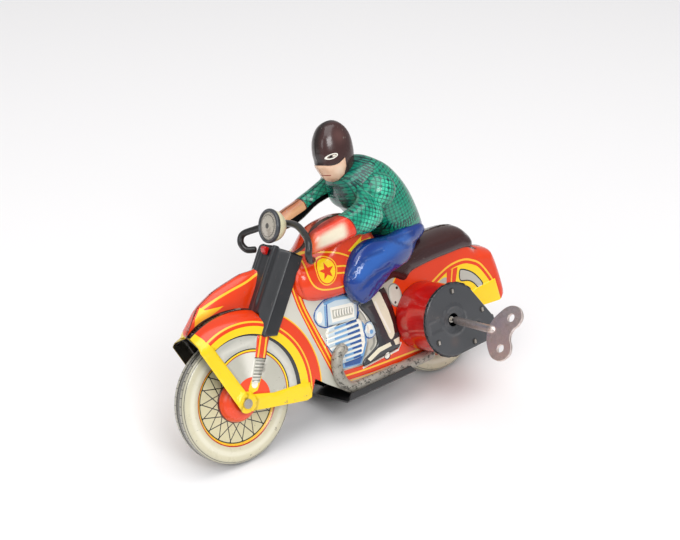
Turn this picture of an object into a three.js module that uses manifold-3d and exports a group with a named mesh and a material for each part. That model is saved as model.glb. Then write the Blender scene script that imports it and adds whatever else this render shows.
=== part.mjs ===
// Wind-up tin motorcycle with a seated rider, about 18 cm long.
//
// The machine is drawn upright: X runs forward, Y to the rider's left and Z up, with the front axle at
// the origin. The whole toy then leans to its right, onto the foot of its stand, so that both wheels and
// the foot meet one floor, and the origin moves to the middle of the foot print.
import * as THREE from 'three';
import { mergeVertices } from 'three/addons/utils/BufferGeometryUtils.js';
import Module from 'manifold-3d';

const wasm = await Module();
wasm.setup();

// ---------------------------------------------------------------- driving dimensions, in mm and degrees
const LEAN = 18.6;
const WHEELBASE = 113;
const WHEEL_RADIUS = 27;
const WHEEL_HALF_WIDTH = 4.2;
const HUB_RADIUS = 9.2;
const HUB_HEIGHT = 8.4;
const AXLE_RADIUS = 1.1;
const RUNNING_FIT = 0.08;
const GAP = 0.3;
const SEAM_GAP = 0.16;
const WALL = 0.7;
const FENDER_CLEARANCE = 10.5;
const BODY_HALF_WIDTH = 10.6;
const BODY_EDGE = 6;
const TANK_HALF_WIDTH = 15.5;
const TANK_EDGE = 9;
const PANEL_BOTTOM = -15.8;
const SEAT_HEIGHT = 37.8;
const EXHAUST_RADIUS = 2.5;
const STAND_SHEET = 0.8;
const STAND_HALF_WIDTH = 16.5;
const STAND_LIP = 3.9;
const SKID_REACH = 4.5;
const FOOT_WIDTH = 4;
const SHIELD_SHEET = 0.7;
const SHIELD_HALF_WIDTH = 7.6;
const SHIELD_FLARE = 11.3;
const SHIELD_FLANK = 10;
const SHIELD_FACE = 6.4;
const BAR_RADIUS = 1.5;
const LAMP_RADIUS = 7.4;
const LAMP_TILT = 18.4;
const HEAD_HALF_WIDTH = 7.6;
const TORSO_HALF_WIDTH = 17.5;
const ARM_INNER = 18.2;
const ARM_OUTER = 25;
const LEG_OUTER = 22;

// clockwork: a great wheel on the winding arbor drives the rear axle through a second wheel
const MODULE = 0.5;
const PINION_TEETH = 8;
const SECOND_TEETH = 16;
const GREAT_TEETH = 36;
const ADDENDUM = 0.85;
const DEDENDUM = 1.15;
const RATCHET_TEETH = 12;
const RATCHET_RADIUS = 3.6;
const ARBOR_RADIUS = 1.4;
const SECOND_ARBOR_RADIUS = 0.8;
const ARBOR_OFFSET = new THREE.Vector2(13.2, 4.5);
const DRUM_RADIUS = 15.6;
const TAIL_RADIUS = 6.2;
const TAIL_OFFSET = new THREE.Vector2(-3.5, -4.5);
const DRUM_DEPTH = 20.6;
const MOTOR_SHEET = 0.6;
const GEAR_WIDTH = 1.2;
const PLATE_SPACE = 0.7;
const SPRING_WIDTH = 10;
const SPRING_SHEET = 0.35;
const SPRING_TURNS = 4;
const PILLAR_RADIUS = 0.9;
const PILLAR_INSET = 2.6;
const PILLAR_CLEARANCE = 0.8;
const PILLAR_SPACE = 0.15;
const SPRING_INSET = 4.8;
const KEY_SHAFT_RADIUS = 1.7;
const KEY_SHAFT_LENGTH = 24;
const KEY_ENGAGEMENT = 3;
const KEY_TILT = 4.5;
const KEY_TURN = 53;
const KEY_LOBE_RADIUS = 5.6;
const KEY_LOBE_SPREAD = 6.6;
const KEY_SHEET = 1.3;

// ---------------------------------------------------------------- sizes that follow from them
const rad = THREE.MathUtils.degToRad;
const FENDER_RADIUS = WHEEL_RADIUS + FENDER_CLEARANCE;
const BORE_RADIUS = AXLE_RADIUS + RUNNING_FIT;
const REAR_X = -WHEELBASE;
const ARBOR = new THREE.Vector2(REAR_X + ARBOR_OFFSET.x, ARBOR_OFFSET.y);
const TAIL = new THREE.Vector2(REAR_X + TAIL_OFFSET.x, TAIL_OFFSET.y);
const pitchRadius = (teeth) => (teeth * MODULE) / 2;
const SECOND_ARBOR = thirdCorner(
  ARBOR, new THREE.Vector2(REAR_X, 0),
  pitchRadius(GREAT_TEETH) + pitchRadius(PINION_TEETH), pitchRadius(SECOND_TEETH) + pitchRadius(PINION_TEETH),
);
const HOUSING_Y = BODY_HALF_WIDTH + GAP;
const SECOND_WHEEL_Y = HOUSING_Y + MOTOR_SHEET + PLATE_SPACE;
const GREAT_WHEEL_Y = SECOND_WHEEL_Y + GEAR_WIDTH + PLATE_SPACE;
const RATCHET_Y = GREAT_WHEEL_Y + GEAR_WIDTH + GAP + 0.2;
const MIDDLE_PLATE_Y = RATCHET_Y + GEAR_WIDTH + PLATE_SPACE;
const SPRING_Y = MIDDLE_PLATE_Y + MOTOR_SHEET + PLATE_SPACE;
const COVER_Y = HOUSING_Y + DRUM_DEPTH + GAP;
const COVER_SHEET = 0.8;

// The third corner of a triangle on the line from a to b, above that line, at the given distances.
function thirdCorner(a, b, fromA, fromB) {
  const along = b.clone().sub(a);
  const span = along.length();
  along.normalize();
  const run = (fromA ** 2 - fromB ** 2 + span ** 2) / (2 * span);
  const rise = Math.sqrt(fromA ** 2 - run ** 2);
  const up = new THREE.Vector2(along.y, -along.x);
  return a.clone().addScaledVector(along, run).addScaledVector(up, rise);
}

// ---------------------------------------------------------------- solids
const toSolid = (geometry) => {
  const bare = geometry.index ? geometry.clone() : geometry;
  for (const name of Object.keys(bare.attributes)) {
    if (name !== 'position') bare.deleteAttribute(name);
  }
  const merged = mergeVertices(bare, 1e-4);
  const vertProperties = new Float32Array(merged.attributes.position.array);
  const triVerts = new Uint32Array(merged.index.array);
  const solid = new wasm.Manifold(new wasm.Mesh({ numProp: 3, vertProperties, triVerts }));
  if (solid.volume() > 0) return solid;
  return new wasm.Manifold(new wasm.Mesh({ numProp: 3, vertProperties, triVerts: triVerts.reverse() }));
};

const toGeometry = (solid) => {
  const mesh = solid.getMesh();
  const geometry = new THREE.BufferGeometry();
  geometry.setAttribute('position', new THREE.BufferAttribute(mesh.vertProperties, mesh.numProp));
  geometry.setIndex(new THREE.BufferAttribute(mesh.triVerts, 1));
  return geometry;
};

const points = (list) => list.map(([x, z]) => new THREE.Vector2(x, z));

const arc = (cx, cz, radius, from, to, steps) => {
  const found = [];
  for (let i = 0; i <= steps; i += 1) {
    const angle = rad(from + ((to - from) * i) / steps);
    found.push([cx + radius * Math.cos(angle), cz + radius * Math.sin(angle)]);
  }
  return found;
};

const holePath = (x, z, radius, sides = 20) => new THREE.Path(
  points(arc(x, z, radius, 360, 0, sides).slice(1)),
);

// A side view drawn in X and Z, made solid from low to high along Y.
const plate = (outline, low, high, holes = []) => {
  const shape = new THREE.Shape(points(outline));
  shape.holes.push(...holes);
  const geometry = new THREE.ExtrudeGeometry(shape, { depth: high - low, bevelEnabled: false });
  geometry.rotateX(Math.PI / 2);
  geometry.translate(0, high, 0);
  return toSolid(geometry);
};

// The same outline pressed out from the middle plane to a rounded face at the given width.
const pillow = (outline, width, edge, inset = 0) => {
  const shape = new THREE.Shape(points(outline));
  const geometry = new THREE.ExtrudeGeometry(shape, {
    depth: 2 * (width - inset - edge), bevelThickness: edge, bevelSize: edge, bevelOffset: -edge - inset,
    bevelSegments: 3,
  });
  geometry.rotateX(Math.PI / 2);
  geometry.translate(0, width - inset - edge, 0);
  return toSolid(geometry);
};

// A rounded boss on a star-shaped outline: each ring shrinks towards the outline's middle as it rises.
const dome = (outline, width, edge, inset = 0) => {
  const count = outline.length;
  const middle = outline.reduce(([a, b], [x, z]) => [a + x / count, b + z / count], [0, 0]);
  const reach = outline.reduce((sum, [x, z]) => sum + Math.hypot(x - middle[0], z - middle[1]), 0) / count;
  const rings = [[0, 0], ...[0, 28, 58, 90].map((turn) => [
    width - inset - edge * (1 - Math.sin(rad(turn))), (edge * (1 - Math.cos(rad(turn)))) / reach,
  ])];
  const corners = [];
  for (const [y, shrink] of rings) {
    const scale = 1 - shrink - inset / reach;
    for (const [x, z] of outline) {
      corners.push(middle[0] + (x - middle[0]) * scale, y, middle[1] + (z - middle[1]) * scale);
    }
  }
  corners.push(middle[0], 0, middle[1], middle[0], width - inset, middle[1]);
  const faces = [];
  const [low, high] = [rings.length * count, rings.length * count + 1];
  for (let i = 0; i < count; i += 1) {
    const next = (i + 1) % count;
    faces.push(low, i, next, high, (rings.length - 1) * count + next, (rings.length - 1) * count + i);
    for (let ring = 0; ring < rings.length - 1; ring += 1) {
      const [a, b] = [ring * count + i, ring * count + next];
      faces.push(a, a + count, b, b, a + count, b + count);
    }
  }
  const geometry = new THREE.BufferGeometry();
  geometry.setAttribute('position', new THREE.Float32BufferAttribute(corners, 3));
  geometry.setIndex(faces);
  return toSolid(geometry);
};

const lathe = (profile, sides) => toSolid(new THREE.LatheGeometry(points(profile), sides));

const rod = (x, z, radius, low, high, sides = 20) => {
  const geometry = new THREE.CylinderGeometry(radius, radius, high - low, sides);
  geometry.translate(x, (low + high) / 2, z);
  return toSolid(geometry);
};

const box = (low, high) => {
  const size = high.map((value, i) => value - low[i]);
  const geometry = new THREE.BoxGeometry(...size);
  geometry.translate(...low.map((value, i) => value + size[i] / 2));
  return toSolid(geometry);
};

const tube = (path, radius, steps, sides = 10) => toSolid(new THREE.ExtrudeGeometry(
  new THREE.Shape(points(arc(0, 0, radius, 0, 360, sides).slice(1))),
  { steps, bevelEnabled: false, extrudePath: path },
));

const mirrored = (solid) => solid.mirror([0, 1, 0]);
const LEFT_SIDE = [[-400, SEAM_GAP, -400], [400, 400, 400]];
const leftOf = (solid) => solid.intersect(box(...LEFT_SIDE));

// ---------------------------------------------------------------- materials
const finish = (color, roughness, metalness) => new THREE.MeshStandardMaterial(
  { color, roughness, metalness },
);
const LOOKS = {
  litho: finish(0xe8481c, 0.28, 0.2),
  knit: finish(0x159d84, 0.35, 0.1),
  trousers: finish(0x1e56b0, 0.25, 0.1),
  wheel: finish(0xd8d3b4, 0.3, 0.1),
  drum: finish(0xd8160f, 0.25, 0.1),
  gunmetal: finish(0x474a50, 0.4, 0.6),
  black: finish(0x1d1c1d, 0.4, 0.3),
  steel: finish(0xa09a92, 0.35, 0.9),
  brass: finish(0xb9924a, 0.4, 0.9),
  silver: finish(0xb4b0a6, 0.4, 0.6),
  cream: finish(0xe9e2bd, 0.3, 0.1),
  springSteel: finish(0x35383f, 0.35, 0.8),
};

const upright = new THREE.Group();
const add = (name, solid, look) => {
  const mesh = new THREE.Mesh(toGeometry(solid), LOOKS[look]);
  mesh.name = name;
  upright.add(mesh);
};

// ---------------------------------------------------------------- body pressings
const rearPoint = (degrees, extra) => [
  REAR_X + (FENDER_RADIUS + extra) * Math.cos(rad(degrees)), (FENDER_RADIUS + extra) * Math.sin(rad(degrees)),
];
const frontFender = arc(-3, 0, FENDER_RADIUS, 62, 112, 7);
const frontNacelle = [
  ...arc(-3, 0, FENDER_RADIUS, 62, 68, 1), [8, 39], [4, 42], [-3, 45], [-10, 47], [-18, 48.3],
];
const tankTop = [
  [-38, 54.5], [-44, 51], [-50, 51.8], [-54, 55], [-59, 58.8], [-66, 60.2], [-74, 60], [-80, 56.5], [-84, 50],
  [-87, 42.5], [-91, SEAT_HEIGHT],
];
const rearTop = [
  rearPoint(96, 0.3), rearPoint(120, 5), rearPoint(128, 4), rearPoint(134, 1.6), rearPoint(139, -1),
  rearPoint(144, 1.5), rearPoint(150, 5), rearPoint(158, 4.7), rearPoint(170, 4), rearPoint(180, 4.6),
  rearPoint(184, 4.2),
];
const leftTop = [...frontFender, [-24, 37], [-30, 45], ...tankTop, ...rearTop];
const rightTop = [...frontNacelle, [-28, 48], [-33, 50], ...tankTop, ...rearTop];
const HUB_EYE = 4.2;
const FENDER_CORNER = [-FENDER_RADIUS + 8, -10];
const plateBottom = [
  [REAR_X - FENDER_RADIUS + 4, -4.5], ...arc(REAR_X, 0, HUB_EYE, 230, 290, 3), [REAR_X + 9, PANEL_BOTTOM],
  [-53, PANEL_BOTTOM], [-46, -10.5], [-41, -6.8], [-36, -2.5], FENDER_CORNER,
  ...arc(0, 0, HUB_EYE, 245, 325, 4),
];
const frontLip = [[FENDER_RADIUS - 21.5, 28]];
const farBelow = [
  [REAR_X - FENDER_RADIUS - 15, -9], [REAR_X - FENDER_RADIUS - 15, -60], [40, -60], [40, 32],
];
const SHIELD_TOP = -67.2;
const SHIELD_CUT = -37.2;
const SHIELD_TIP = -28.2;

// A point in side view from its distance down the fork's rake and its distance in front of it.
const raked = (s, n) => [0.8 * n + 0.6 * s, 0.6 * n - 0.8 * s];

// The shield's cross-section, with its front across X = 0, run along the fork's rake in side view.
const shieldSolid = (spare) => {
  const half = SHIELD_SHEET / 2 + spare;
  const corner = SHIELD_HALF_WIDTH + spare;
  const leftHalf = [
    [half, corner], [-3.6, SHIELD_FLARE + half], [-SHIELD_FLANK, SHIELD_FLARE + half],
    [-SHIELD_FLANK, SHIELD_FLARE - half], [-3.4, SHIELD_FLARE - half],
    [-half, SHIELD_HALF_WIDTH - spare - SHIELD_SHEET / 2],
  ];
  const outline = [...leftHalf, ...leftHalf.map(([x, y]) => [x, -y]).reverse()];
  const geometry = new THREE.ExtrudeGeometry(new THREE.Shape(points(outline)), {
    depth: SHIELD_TIP - SHIELD_TOP + 2 * spare, bevelEnabled: false,
  });
  // local x is the face normal, local y is Y and local z runs up the rake
  const normal = new THREE.Vector3(0.8, 0, 0.6);
  const side = new THREE.Vector3(0, 1, 0);
  const rake = new THREE.Vector3().crossVectors(normal, side);
  const place = new THREE.Matrix4().makeBasis(normal, side, rake);
  const start = normal.clone().multiplyScalar(SHIELD_FACE).addScaledVector(rake, -SHIELD_TIP - spare);
  geometry.applyMatrix4(place.setPosition(start));
  return toSolid(geometry);
};

// Between its flanks the shield ends higher, in a straight edge, and the flanks end on a slant.
const shield = () => {
  const inside = SHIELD_FLARE - SHIELD_SHEET / 2;
  const notch = plate(
    [raked(SHIELD_CUT, -2), raked(SHIELD_CUT, 8), raked(SHIELD_TIP + 15, 8), raked(SHIELD_TIP + 15, -2)],
    -inside, inside,
  );
  const tip = plate([
    raked(SHIELD_TIP - 3.5, -SHIELD_FLANK - 2), raked(SHIELD_TIP - 3.5, 2.4 - SHIELD_FLANK),
    raked(SHIELD_TIP + 0.5, 0), raked(SHIELD_TIP + 10, 0), raked(SHIELD_TIP + 10, -SHIELD_FLANK - 2),
  ], -2 * SHIELD_FLARE, 2 * SHIELD_FLARE);
  return shieldSolid(0).subtract(notch).subtract(tip);
};

// The seam line moved inwards by the wall, for the inside of the pressing.
const insetSeam = (top) => top.map(([x, z], i) => {
  const before = top[Math.max(i - 1, 0)];
  const after = top[Math.min(i + 1, top.length - 1)];
  const [dx, dz] = [after[0] - before[0], after[1] - before[1]];
  const length = Math.hypot(dx, dz);
  return [x - (dz / length) * WALL, z + (dx / length) * WALL];
});

const axleHoles = (solid) => solid
  .subtract(rod(0, 0, BORE_RADIUS, -40, 40))
  .subtract(rod(REAR_X, 0, BORE_RADIUS, -40, 40));

const tankOutline = [
  ...tankTop.slice(1, -1), [-88, 38], [-80, 32.5], [-70, 29.4], [-61, 28.4], [-47.4, 29.5], [-40, 32],
  [-36, 36.5], [-36, 42], [-39, 47],
].reverse();

const bodyHalf = (top) => {
  const whole = [...top, ...plateBottom, ...frontLip];
  const spread = (seam) => [...seam, ...farBelow];
  const tank = (inset) => dome(tankOutline, TANK_HALF_WIDTH, TANK_EDGE, inset);
  const outside = pillow(spread(top), BODY_HALF_WIDTH, BODY_EDGE)
    .intersect(plate(whole, -60, 60))
    .add(tank(0));
  const inside = pillow(spread(insetSeam(top)), BODY_HALF_WIDTH - WALL, BODY_EDGE - WALL)
    .add(tank(WALL));
  return leftOf(outside.subtract(inside).subtract(shieldSolid(GAP)));
};

const largest = (solid) => solid.decompose().sort((a, b) => b.volume() - a.volume())[0];
const exhaustPath = new THREE.CatmullRomCurve3(
  [
    [-52.5, 5.6], [-49.2, 4.2], [-47.2, 0.5], [-47.4, -5.5], [-50, -10.8], [-54.5, -12.9], [-64, -13.1],
    [REAR_X + 14, -13.6],
  ].map(([x, z]) => new THREE.Vector3(x, BODY_HALF_WIDTH + GAP + 1.7, z)),
);
const exhaust = tube(exhaustPath, EXHAUST_RADIUS, 15, 8)
  .intersect(box([-300, BODY_HALF_WIDTH + GAP, -100], [300, 60, 100]));

add('body_left_half', largest(axleHoles(bodyHalf(leftTop))), 'litho');
add('body_right_half', largest(axleHoles(mirrored(bodyHalf(rightTop)))), 'litho');
add('exhaust_left', exhaust, 'silver');
add('exhaust_right', mirrored(exhaust), 'silver');

// ---------------------------------------------------------------- fork shield, handlebar and headlamp
const LAMP_CENTRE = new THREE.Vector3(-36.6, 0, 65.6);
const LAMP_DEPTH = 6.2;
const lampPart = (profile) => {
  const geometry = new THREE.LatheGeometry(points(profile), 20);
  geometry.rotateZ(-Math.PI / 2);
  geometry.rotateY(-rad(LAMP_TILT));
  geometry.translate(LAMP_CENTRE.x, LAMP_CENTRE.y, LAMP_CENTRE.z);
  return toSolid(geometry);
};
const bowl = (radius, depth, from, to) => arc(0, 0, 1, from, to, 5)
  .map(([c, s]) => [Math.max(radius * c, 0), -1.5 + depth * s]);

add('fork_shield', shield(), 'gunmetal');
add('headlamp_bowl', lampPart([
  ...bowl(LAMP_RADIUS - 0.5, LAMP_DEPTH, 0, -90),
  ...bowl(LAMP_RADIUS - 0.5 - WALL, LAMP_DEPTH - WALL, -90, 0),
  [LAMP_RADIUS - 0.5, -1.5],
]), 'cream');
add('headlamp_rim', lampPart([
  [LAMP_RADIUS - 1.1, -1.2], [LAMP_RADIUS, -1.2], [LAMP_RADIUS, 0], [LAMP_RADIUS - 0.4, 0.5],
  [LAMP_RADIUS - 1.1, 0.5], [LAMP_RADIUS - 1.1, -1.2],
]), 'gunmetal');
add('headlamp_lens', lampPart([
  [0, -0.6], [LAMP_RADIUS - 1.4, -0.6], [LAMP_RADIUS - 1.4, 0], [LAMP_RADIUS / 2, 0.5], [0, 0.7],
]), 'silver');
add('headlamp_bracket', plate([
  raked(SHIELD_TOP + 4.8, SHIELD_FACE + 0.8), raked(SHIELD_TOP + 1.6, SHIELD_FACE + 0.8),
  raked(SHIELD_TOP + 1.6, SHIELD_FACE + 3), raked(SHIELD_TOP + 4, SHIELD_FACE + 2.4),
], -1.6, 1.6), 'drum');
const barPath = new THREE.CatmullRomCurve3([
  [-40.6, 21.2, 50.6], [-37.8, 23.6, 51.4], [-36.6, 25, 54.5], [-38.2, 24.4, 58.2], [-41.4, 19, 60.6],
  [-45, 9, 63.4], [-46.2, 0, 63.8], [-45, -9, 63.4], [-41.4, -19, 61.4], [-38.2, -24.4, 59.8],
  [-36.6, -25, 56.4], [-37.8, -23.6, 53], [-40.6, -21.2, 52.2],
].map((point) => new THREE.Vector3(...point)));
add('handlebar', tube(barPath, BAR_RADIUS, 32, 8), 'black');

// ---------------------------------------------------------------- wheels and axles
const TREAD_EDGE = WHEEL_HALF_WIDTH - 1.2;
const WHEEL_SIDES = 28;
const wheelDisc = (x) => {
  const web = WHEEL_HALF_WIDTH - 1.5;
  const rim = WHEEL_RADIUS * 0.68;
  const outside = [
    [BORE_RADIUS, HUB_HEIGHT], [HUB_RADIUS * 0.8, HUB_HEIGHT - 1.2], [HUB_RADIUS, web + 0.8],
    [HUB_RADIUS + 0.8, web], [rim - 0.6, web], [rim + 0.8, WHEEL_HALF_WIDTH - 0.3],
    [WHEEL_RADIUS * 0.85, WHEEL_HALF_WIDTH],
    [WHEEL_RADIUS - 1, WHEEL_HALF_WIDTH - 0.4], [WHEEL_RADIUS, TREAD_EDGE], [WHEEL_RADIUS, SEAM_GAP],
  ];
  const inside = [
    [WHEEL_RADIUS - WALL, SEAM_GAP], [WHEEL_RADIUS - WALL, TREAD_EDGE - WALL / 2],
    [rim + 1.2, WHEEL_HALF_WIDTH - WALL - 0.3], [rim, web - WALL], [HUB_RADIUS + 0.2, web - WALL],
    [HUB_RADIUS * 0.76, HUB_HEIGHT - 1.2 - WALL], [BORE_RADIUS, HUB_HEIGHT - WALL],
  ];
  return lathe([...outside, ...inside, outside[0]], WHEEL_SIDES).translate([x, 0, 0]);
};

const gear = (teeth, centre, low, bore, phase) => {
  const pitch = pitchRadius(teeth);
  const [tip, root] = [pitch + ADDENDUM * MODULE, pitch - DEDENDUM * MODULE];
  const step = (2 * Math.PI) / teeth;
  const outline = [];
  const at = (radius, angle) => [centre.x + radius * Math.cos(angle), centre.y + radius * Math.sin(angle)];
  for (let i = 0; i < teeth; i += 1) {
    const middle = phase + i * step;
    outline.push(
      at(root, middle - step * 0.27), at(pitch, middle - step * 0.185), at(tip, middle - step * 0.07),
      at(tip, middle + step * 0.07), at(pitch, middle + step * 0.185), at(root, middle + step * 0.27),
    );
  }
  const holes = bore ? [holePath(centre.x, centre.y, bore)] : [];
  return plate(outline, low, low + GEAR_WIDTH, holes);
};
const towards = (from, to) => Math.atan2(to.y - from.y, to.x - from.x);
const REAR_AXLE = new THREE.Vector2(REAR_X, 0);
const halfTooth = (teeth) => Math.PI / teeth;
const AXLE_HEAD_RADIUS = 2.1;
const AXLE_OUT = BODY_HALF_WIDTH + GAP;

const frontAxle = rod(0, 0, AXLE_RADIUS, -AXLE_OUT - 0.5, AXLE_OUT + 0.5)
  .add(rod(0, 0, AXLE_HEAD_RADIUS, AXLE_OUT, AXLE_OUT + 1.1))
  .add(rod(0, 0, AXLE_HEAD_RADIUS, -AXLE_OUT - 1.1, -AXLE_OUT));
const rearAxle = rod(REAR_X, 0, AXLE_RADIUS, -AXLE_OUT - 0.5, MIDDLE_PLATE_Y - GAP)
  .add(rod(REAR_X, 0, AXLE_HEAD_RADIUS, -AXLE_OUT - 1.1, -AXLE_OUT))
  .add(gear(
    PINION_TEETH, REAR_AXLE, SECOND_WHEEL_Y, 0, towards(REAR_AXLE, SECOND_ARBOR) + halfTooth(PINION_TEETH),
  ));

add('front_axle', frontAxle, 'steel');
add('front_wheel_left', wheelDisc(0), 'wheel');
add('front_wheel_right', mirrored(wheelDisc(0)), 'wheel');
add('rear_axle', rearAxle, 'steel');
add('rear_wheel_left', wheelDisc(REAR_X), 'wheel');
add('rear_wheel_right', mirrored(wheelDisc(REAR_X)), 'wheel');

// ---------------------------------------------------------------- clockwork motor
// The housing goes round the mainspring, the rear axle's tail, the second wheel and the pillars.
const deg = THREE.MathUtils.radToDeg;
const tailward = TAIL.clone().sub(ARBOR);
const turn = deg(Math.acos((DRUM_RADIUS - TAIL_RADIUS) / tailward.length()));
const heading = deg(tailward.angle());
const secondTip = pitchRadius(SECOND_TEETH) + ADDENDUM * MODULE;
const beside = (centre, angle, reach) => arc(centre.x, centre.y, reach, angle, angle, 1)[0];
const PILLARS = [
  beside(ARBOR, 98.4, DRUM_RADIUS - PILLAR_INSET), beside(ARBOR, -32.5, DRUM_RADIUS - PILLAR_INSET),
  beside(SECOND_ARBOR, 197.6, secondTip + PILLAR_RADIUS + PILLAR_CLEARANCE),
  beside(TAIL, 329.3, TAIL_RADIUS + 2.4),
];

// The shortest closed outline round a set of points.
const outlineRound = (list) => {
  const sorted = [...list].sort((p, q) => p[0] - q[0] || p[1] - q[1]);
  const chain = (ordered) => ordered.reduce((found, p) => {
    const turnsIn = () => {
      const [a, b] = found.slice(-2);
      return (b[0] - a[0]) * (p[1] - a[1]) - (b[1] - a[1]) * (p[0] - a[0]) <= 0;
    };
    while (found.length > 1 && turnsIn()) found.pop();
    return [...found, p];
  }, []);
  return [...chain(sorted).slice(0, -1), ...chain(sorted.reverse()).slice(0, -1)];
};
const teardrop = (spare) => outlineRound([
  ...arc(ARBOR.x, ARBOR.y, DRUM_RADIUS + spare, heading + turn, heading + 360 - turn, 22),
  ...arc(TAIL.x, TAIL.y, TAIL_RADIUS + spare, heading - turn, heading + turn, 6),
  ...arc(SECOND_ARBOR.x, SECOND_ARBOR.y, secondTip + MOTOR_SHEET + GAP + spare, 0, 360, 24),
  ...PILLARS.flatMap(([x, z]) => arc(x, z, PILLAR_RADIUS + MOTOR_SHEET + PILLAR_SPACE + spare, 0, 360, 12)),
]);
const housingFloor = plate(teardrop(0), HOUSING_Y, HOUSING_Y + MOTOR_SHEET, [
  holePath(REAR_X, 0, BORE_RADIUS), holePath(ARBOR.x, ARBOR.y, ARBOR_RADIUS + RUNNING_FIT),
  holePath(SECOND_ARBOR.x, SECOND_ARBOR.y, SECOND_ARBOR_RADIUS + RUNNING_FIT),
]);
const housingWall = plate(teardrop(0), HOUSING_Y, HOUSING_Y + DRUM_DEPTH)
  .subtract(plate(teardrop(-MOTOR_SHEET), HOUSING_Y - 1, HOUSING_Y + DRUM_DEPTH + 1));
const middlePlate = PILLARS.reduce(
  (solid, [x, z]) => solid.subtract(rod(x, z, PILLAR_RADIUS + GAP, 0, 60)),
  plate(teardrop(-MOTOR_SHEET - GAP), MIDDLE_PLATE_Y, MIDDLE_PLATE_Y + MOTOR_SHEET, [
    holePath(ARBOR.x, ARBOR.y, ARBOR_RADIUS + RUNNING_FIT),
    holePath(SECOND_ARBOR.x, SECOND_ARBOR.y, SECOND_ARBOR_RADIUS + RUNNING_FIT),
  ]),
);
const TENON = [0.55, 0.9];
const tenon = (x, z, spare, low, high) => box(
  [x - TENON[0] - spare, low, z - TENON[1] - spare], [x + TENON[0] + spare, high, z + TENON[1] + spare],
);
const coverPlate = PILLARS.reduce(
  (solid, [x, z]) => solid.subtract(tenon(x, z, GAP, 0, 60)),
  plate(teardrop(0.8), COVER_Y, COVER_Y + COVER_SHEET, [holePath(ARBOR.x, ARBOR.y, 3)]),
);
add('motor_housing', housingFloor.add(housingWall), 'drum');
add('motor_middle_plate', middlePlate, 'steel');
add('motor_cover_plate', coverPlate, 'gunmetal');
PILLARS.forEach(([x, z], i) => {
  const post = rod(x, z, PILLAR_RADIUS, HOUSING_Y + MOTOR_SHEET + GAP, COVER_Y - GAP, 12);
  add(`motor_pillar_${i + 1}`, post.add(tenon(x, z, 0, COVER_Y - 1, COVER_Y + COVER_SHEET + 0.6)), 'steel');
});

const spiral = () => {
  const [start, end] = [ARBOR_RADIUS + 0.5, DRUM_RADIUS - SPRING_INSET];
  const steps = SPRING_TURNS * 14;
  const edge = (offset) => Array.from({ length: steps + 1 }, (_, i) => {
    const angle = (i / steps) * SPRING_TURNS * 2 * Math.PI;
    const radius = start + ((end - start) * i) / steps + offset;
    return [ARBOR.x + radius * Math.cos(angle), ARBOR.y + radius * Math.sin(angle)];
  });
  return plate([...edge(SPRING_SHEET), ...edge(0).reverse()], SPRING_Y, SPRING_Y + SPRING_WIDTH);
};
const around = (list) => list.map(([x, z]) => [ARBOR.x + x, ARBOR.y + z]);
const CLICK_PIVOT = [5.4, 4.5];
const ratchetOutline = Array.from({ length: RATCHET_TEETH }, (_, i) => {
  const angle = (i / RATCHET_TEETH) * 2 * Math.PI;
  const next = angle + (0.86 / RATCHET_TEETH) * 2 * Math.PI;
  const root = RATCHET_RADIUS - 0.8;
  return [
    [RATCHET_RADIUS * Math.cos(angle), RATCHET_RADIUS * Math.sin(angle)],
    [root * Math.cos(next), root * Math.sin(next)],
  ];
}).flat();
const arborTop = COVER_Y + COVER_SHEET + 4;
const ratchetHole = holePath(ARBOR.x, ARBOR.y, ARBOR_RADIUS + GAP);
const clickTop = RATCHET_Y + GEAR_WIDTH;

add('winding_arbor', rod(ARBOR.x, ARBOR.y, ARBOR_RADIUS, HOUSING_Y + 0.1, COVER_Y - 1)
  .add(rod(ARBOR.x, ARBOR.y, 0.7, COVER_Y - 2, arborTop)), 'steel');
add('ratchet_wheel', plate(around(ratchetOutline), RATCHET_Y, clickTop, [ratchetHole]), 'steel');
add('mainspring', spiral(), 'springSteel');
add('great_wheel', gear(
  GREAT_TEETH, ARBOR, GREAT_WHEEL_Y, ARBOR_RADIUS + RUNNING_FIT,
  towards(ARBOR, SECOND_ARBOR) + halfTooth(GREAT_TEETH),
).subtract(rod(...around([CLICK_PIVOT])[0], 0.8, 0, 60)), 'brass');
add('click', plate(around([
  [6.5, 4.2], [6.2, 5.4], [5.2, 5.7], [2.6, 5.1], [-0.6, 4.5], [-0.5, 3.98], [2.4, 4.0], [4.4, 3.6],
  [5.6, 3.3],
]), RATCHET_Y, clickTop, [holePath(...around([CLICK_PIVOT])[0], 0.5 + RUNNING_FIT, 16)]), 'steel');
add('click_pin', rod(...around([CLICK_PIVOT])[0], 0.5, GREAT_WHEEL_Y, clickTop + 0.3, 16), 'steel');
add('click_spring', plate(around([
  [-4.6, 6.2], [-3.6, 6.6], [0, 5.9], [2.6, 5.75], [2.6, 6.1], [0.2, 6.3], [-3.4, 7.1], [-4.9, 6.8],
]), RATCHET_Y, clickTop), 'springSteel');
const secondArbor = rod(
  SECOND_ARBOR.x, SECOND_ARBOR.y, SECOND_ARBOR_RADIUS, HOUSING_Y + 0.1, MIDDLE_PLATE_Y + MOTOR_SHEET,
);
add('second_arbor', secondArbor.add(
  gear(PINION_TEETH, SECOND_ARBOR, GREAT_WHEEL_Y, 0, towards(SECOND_ARBOR, ARBOR)),
), 'steel');
add('second_wheel', gear(
  SECOND_TEETH, SECOND_ARBOR, SECOND_WHEEL_Y, SECOND_ARBOR_RADIUS + GAP, towards(SECOND_ARBOR, REAR_AXLE),
), 'brass');

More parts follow.
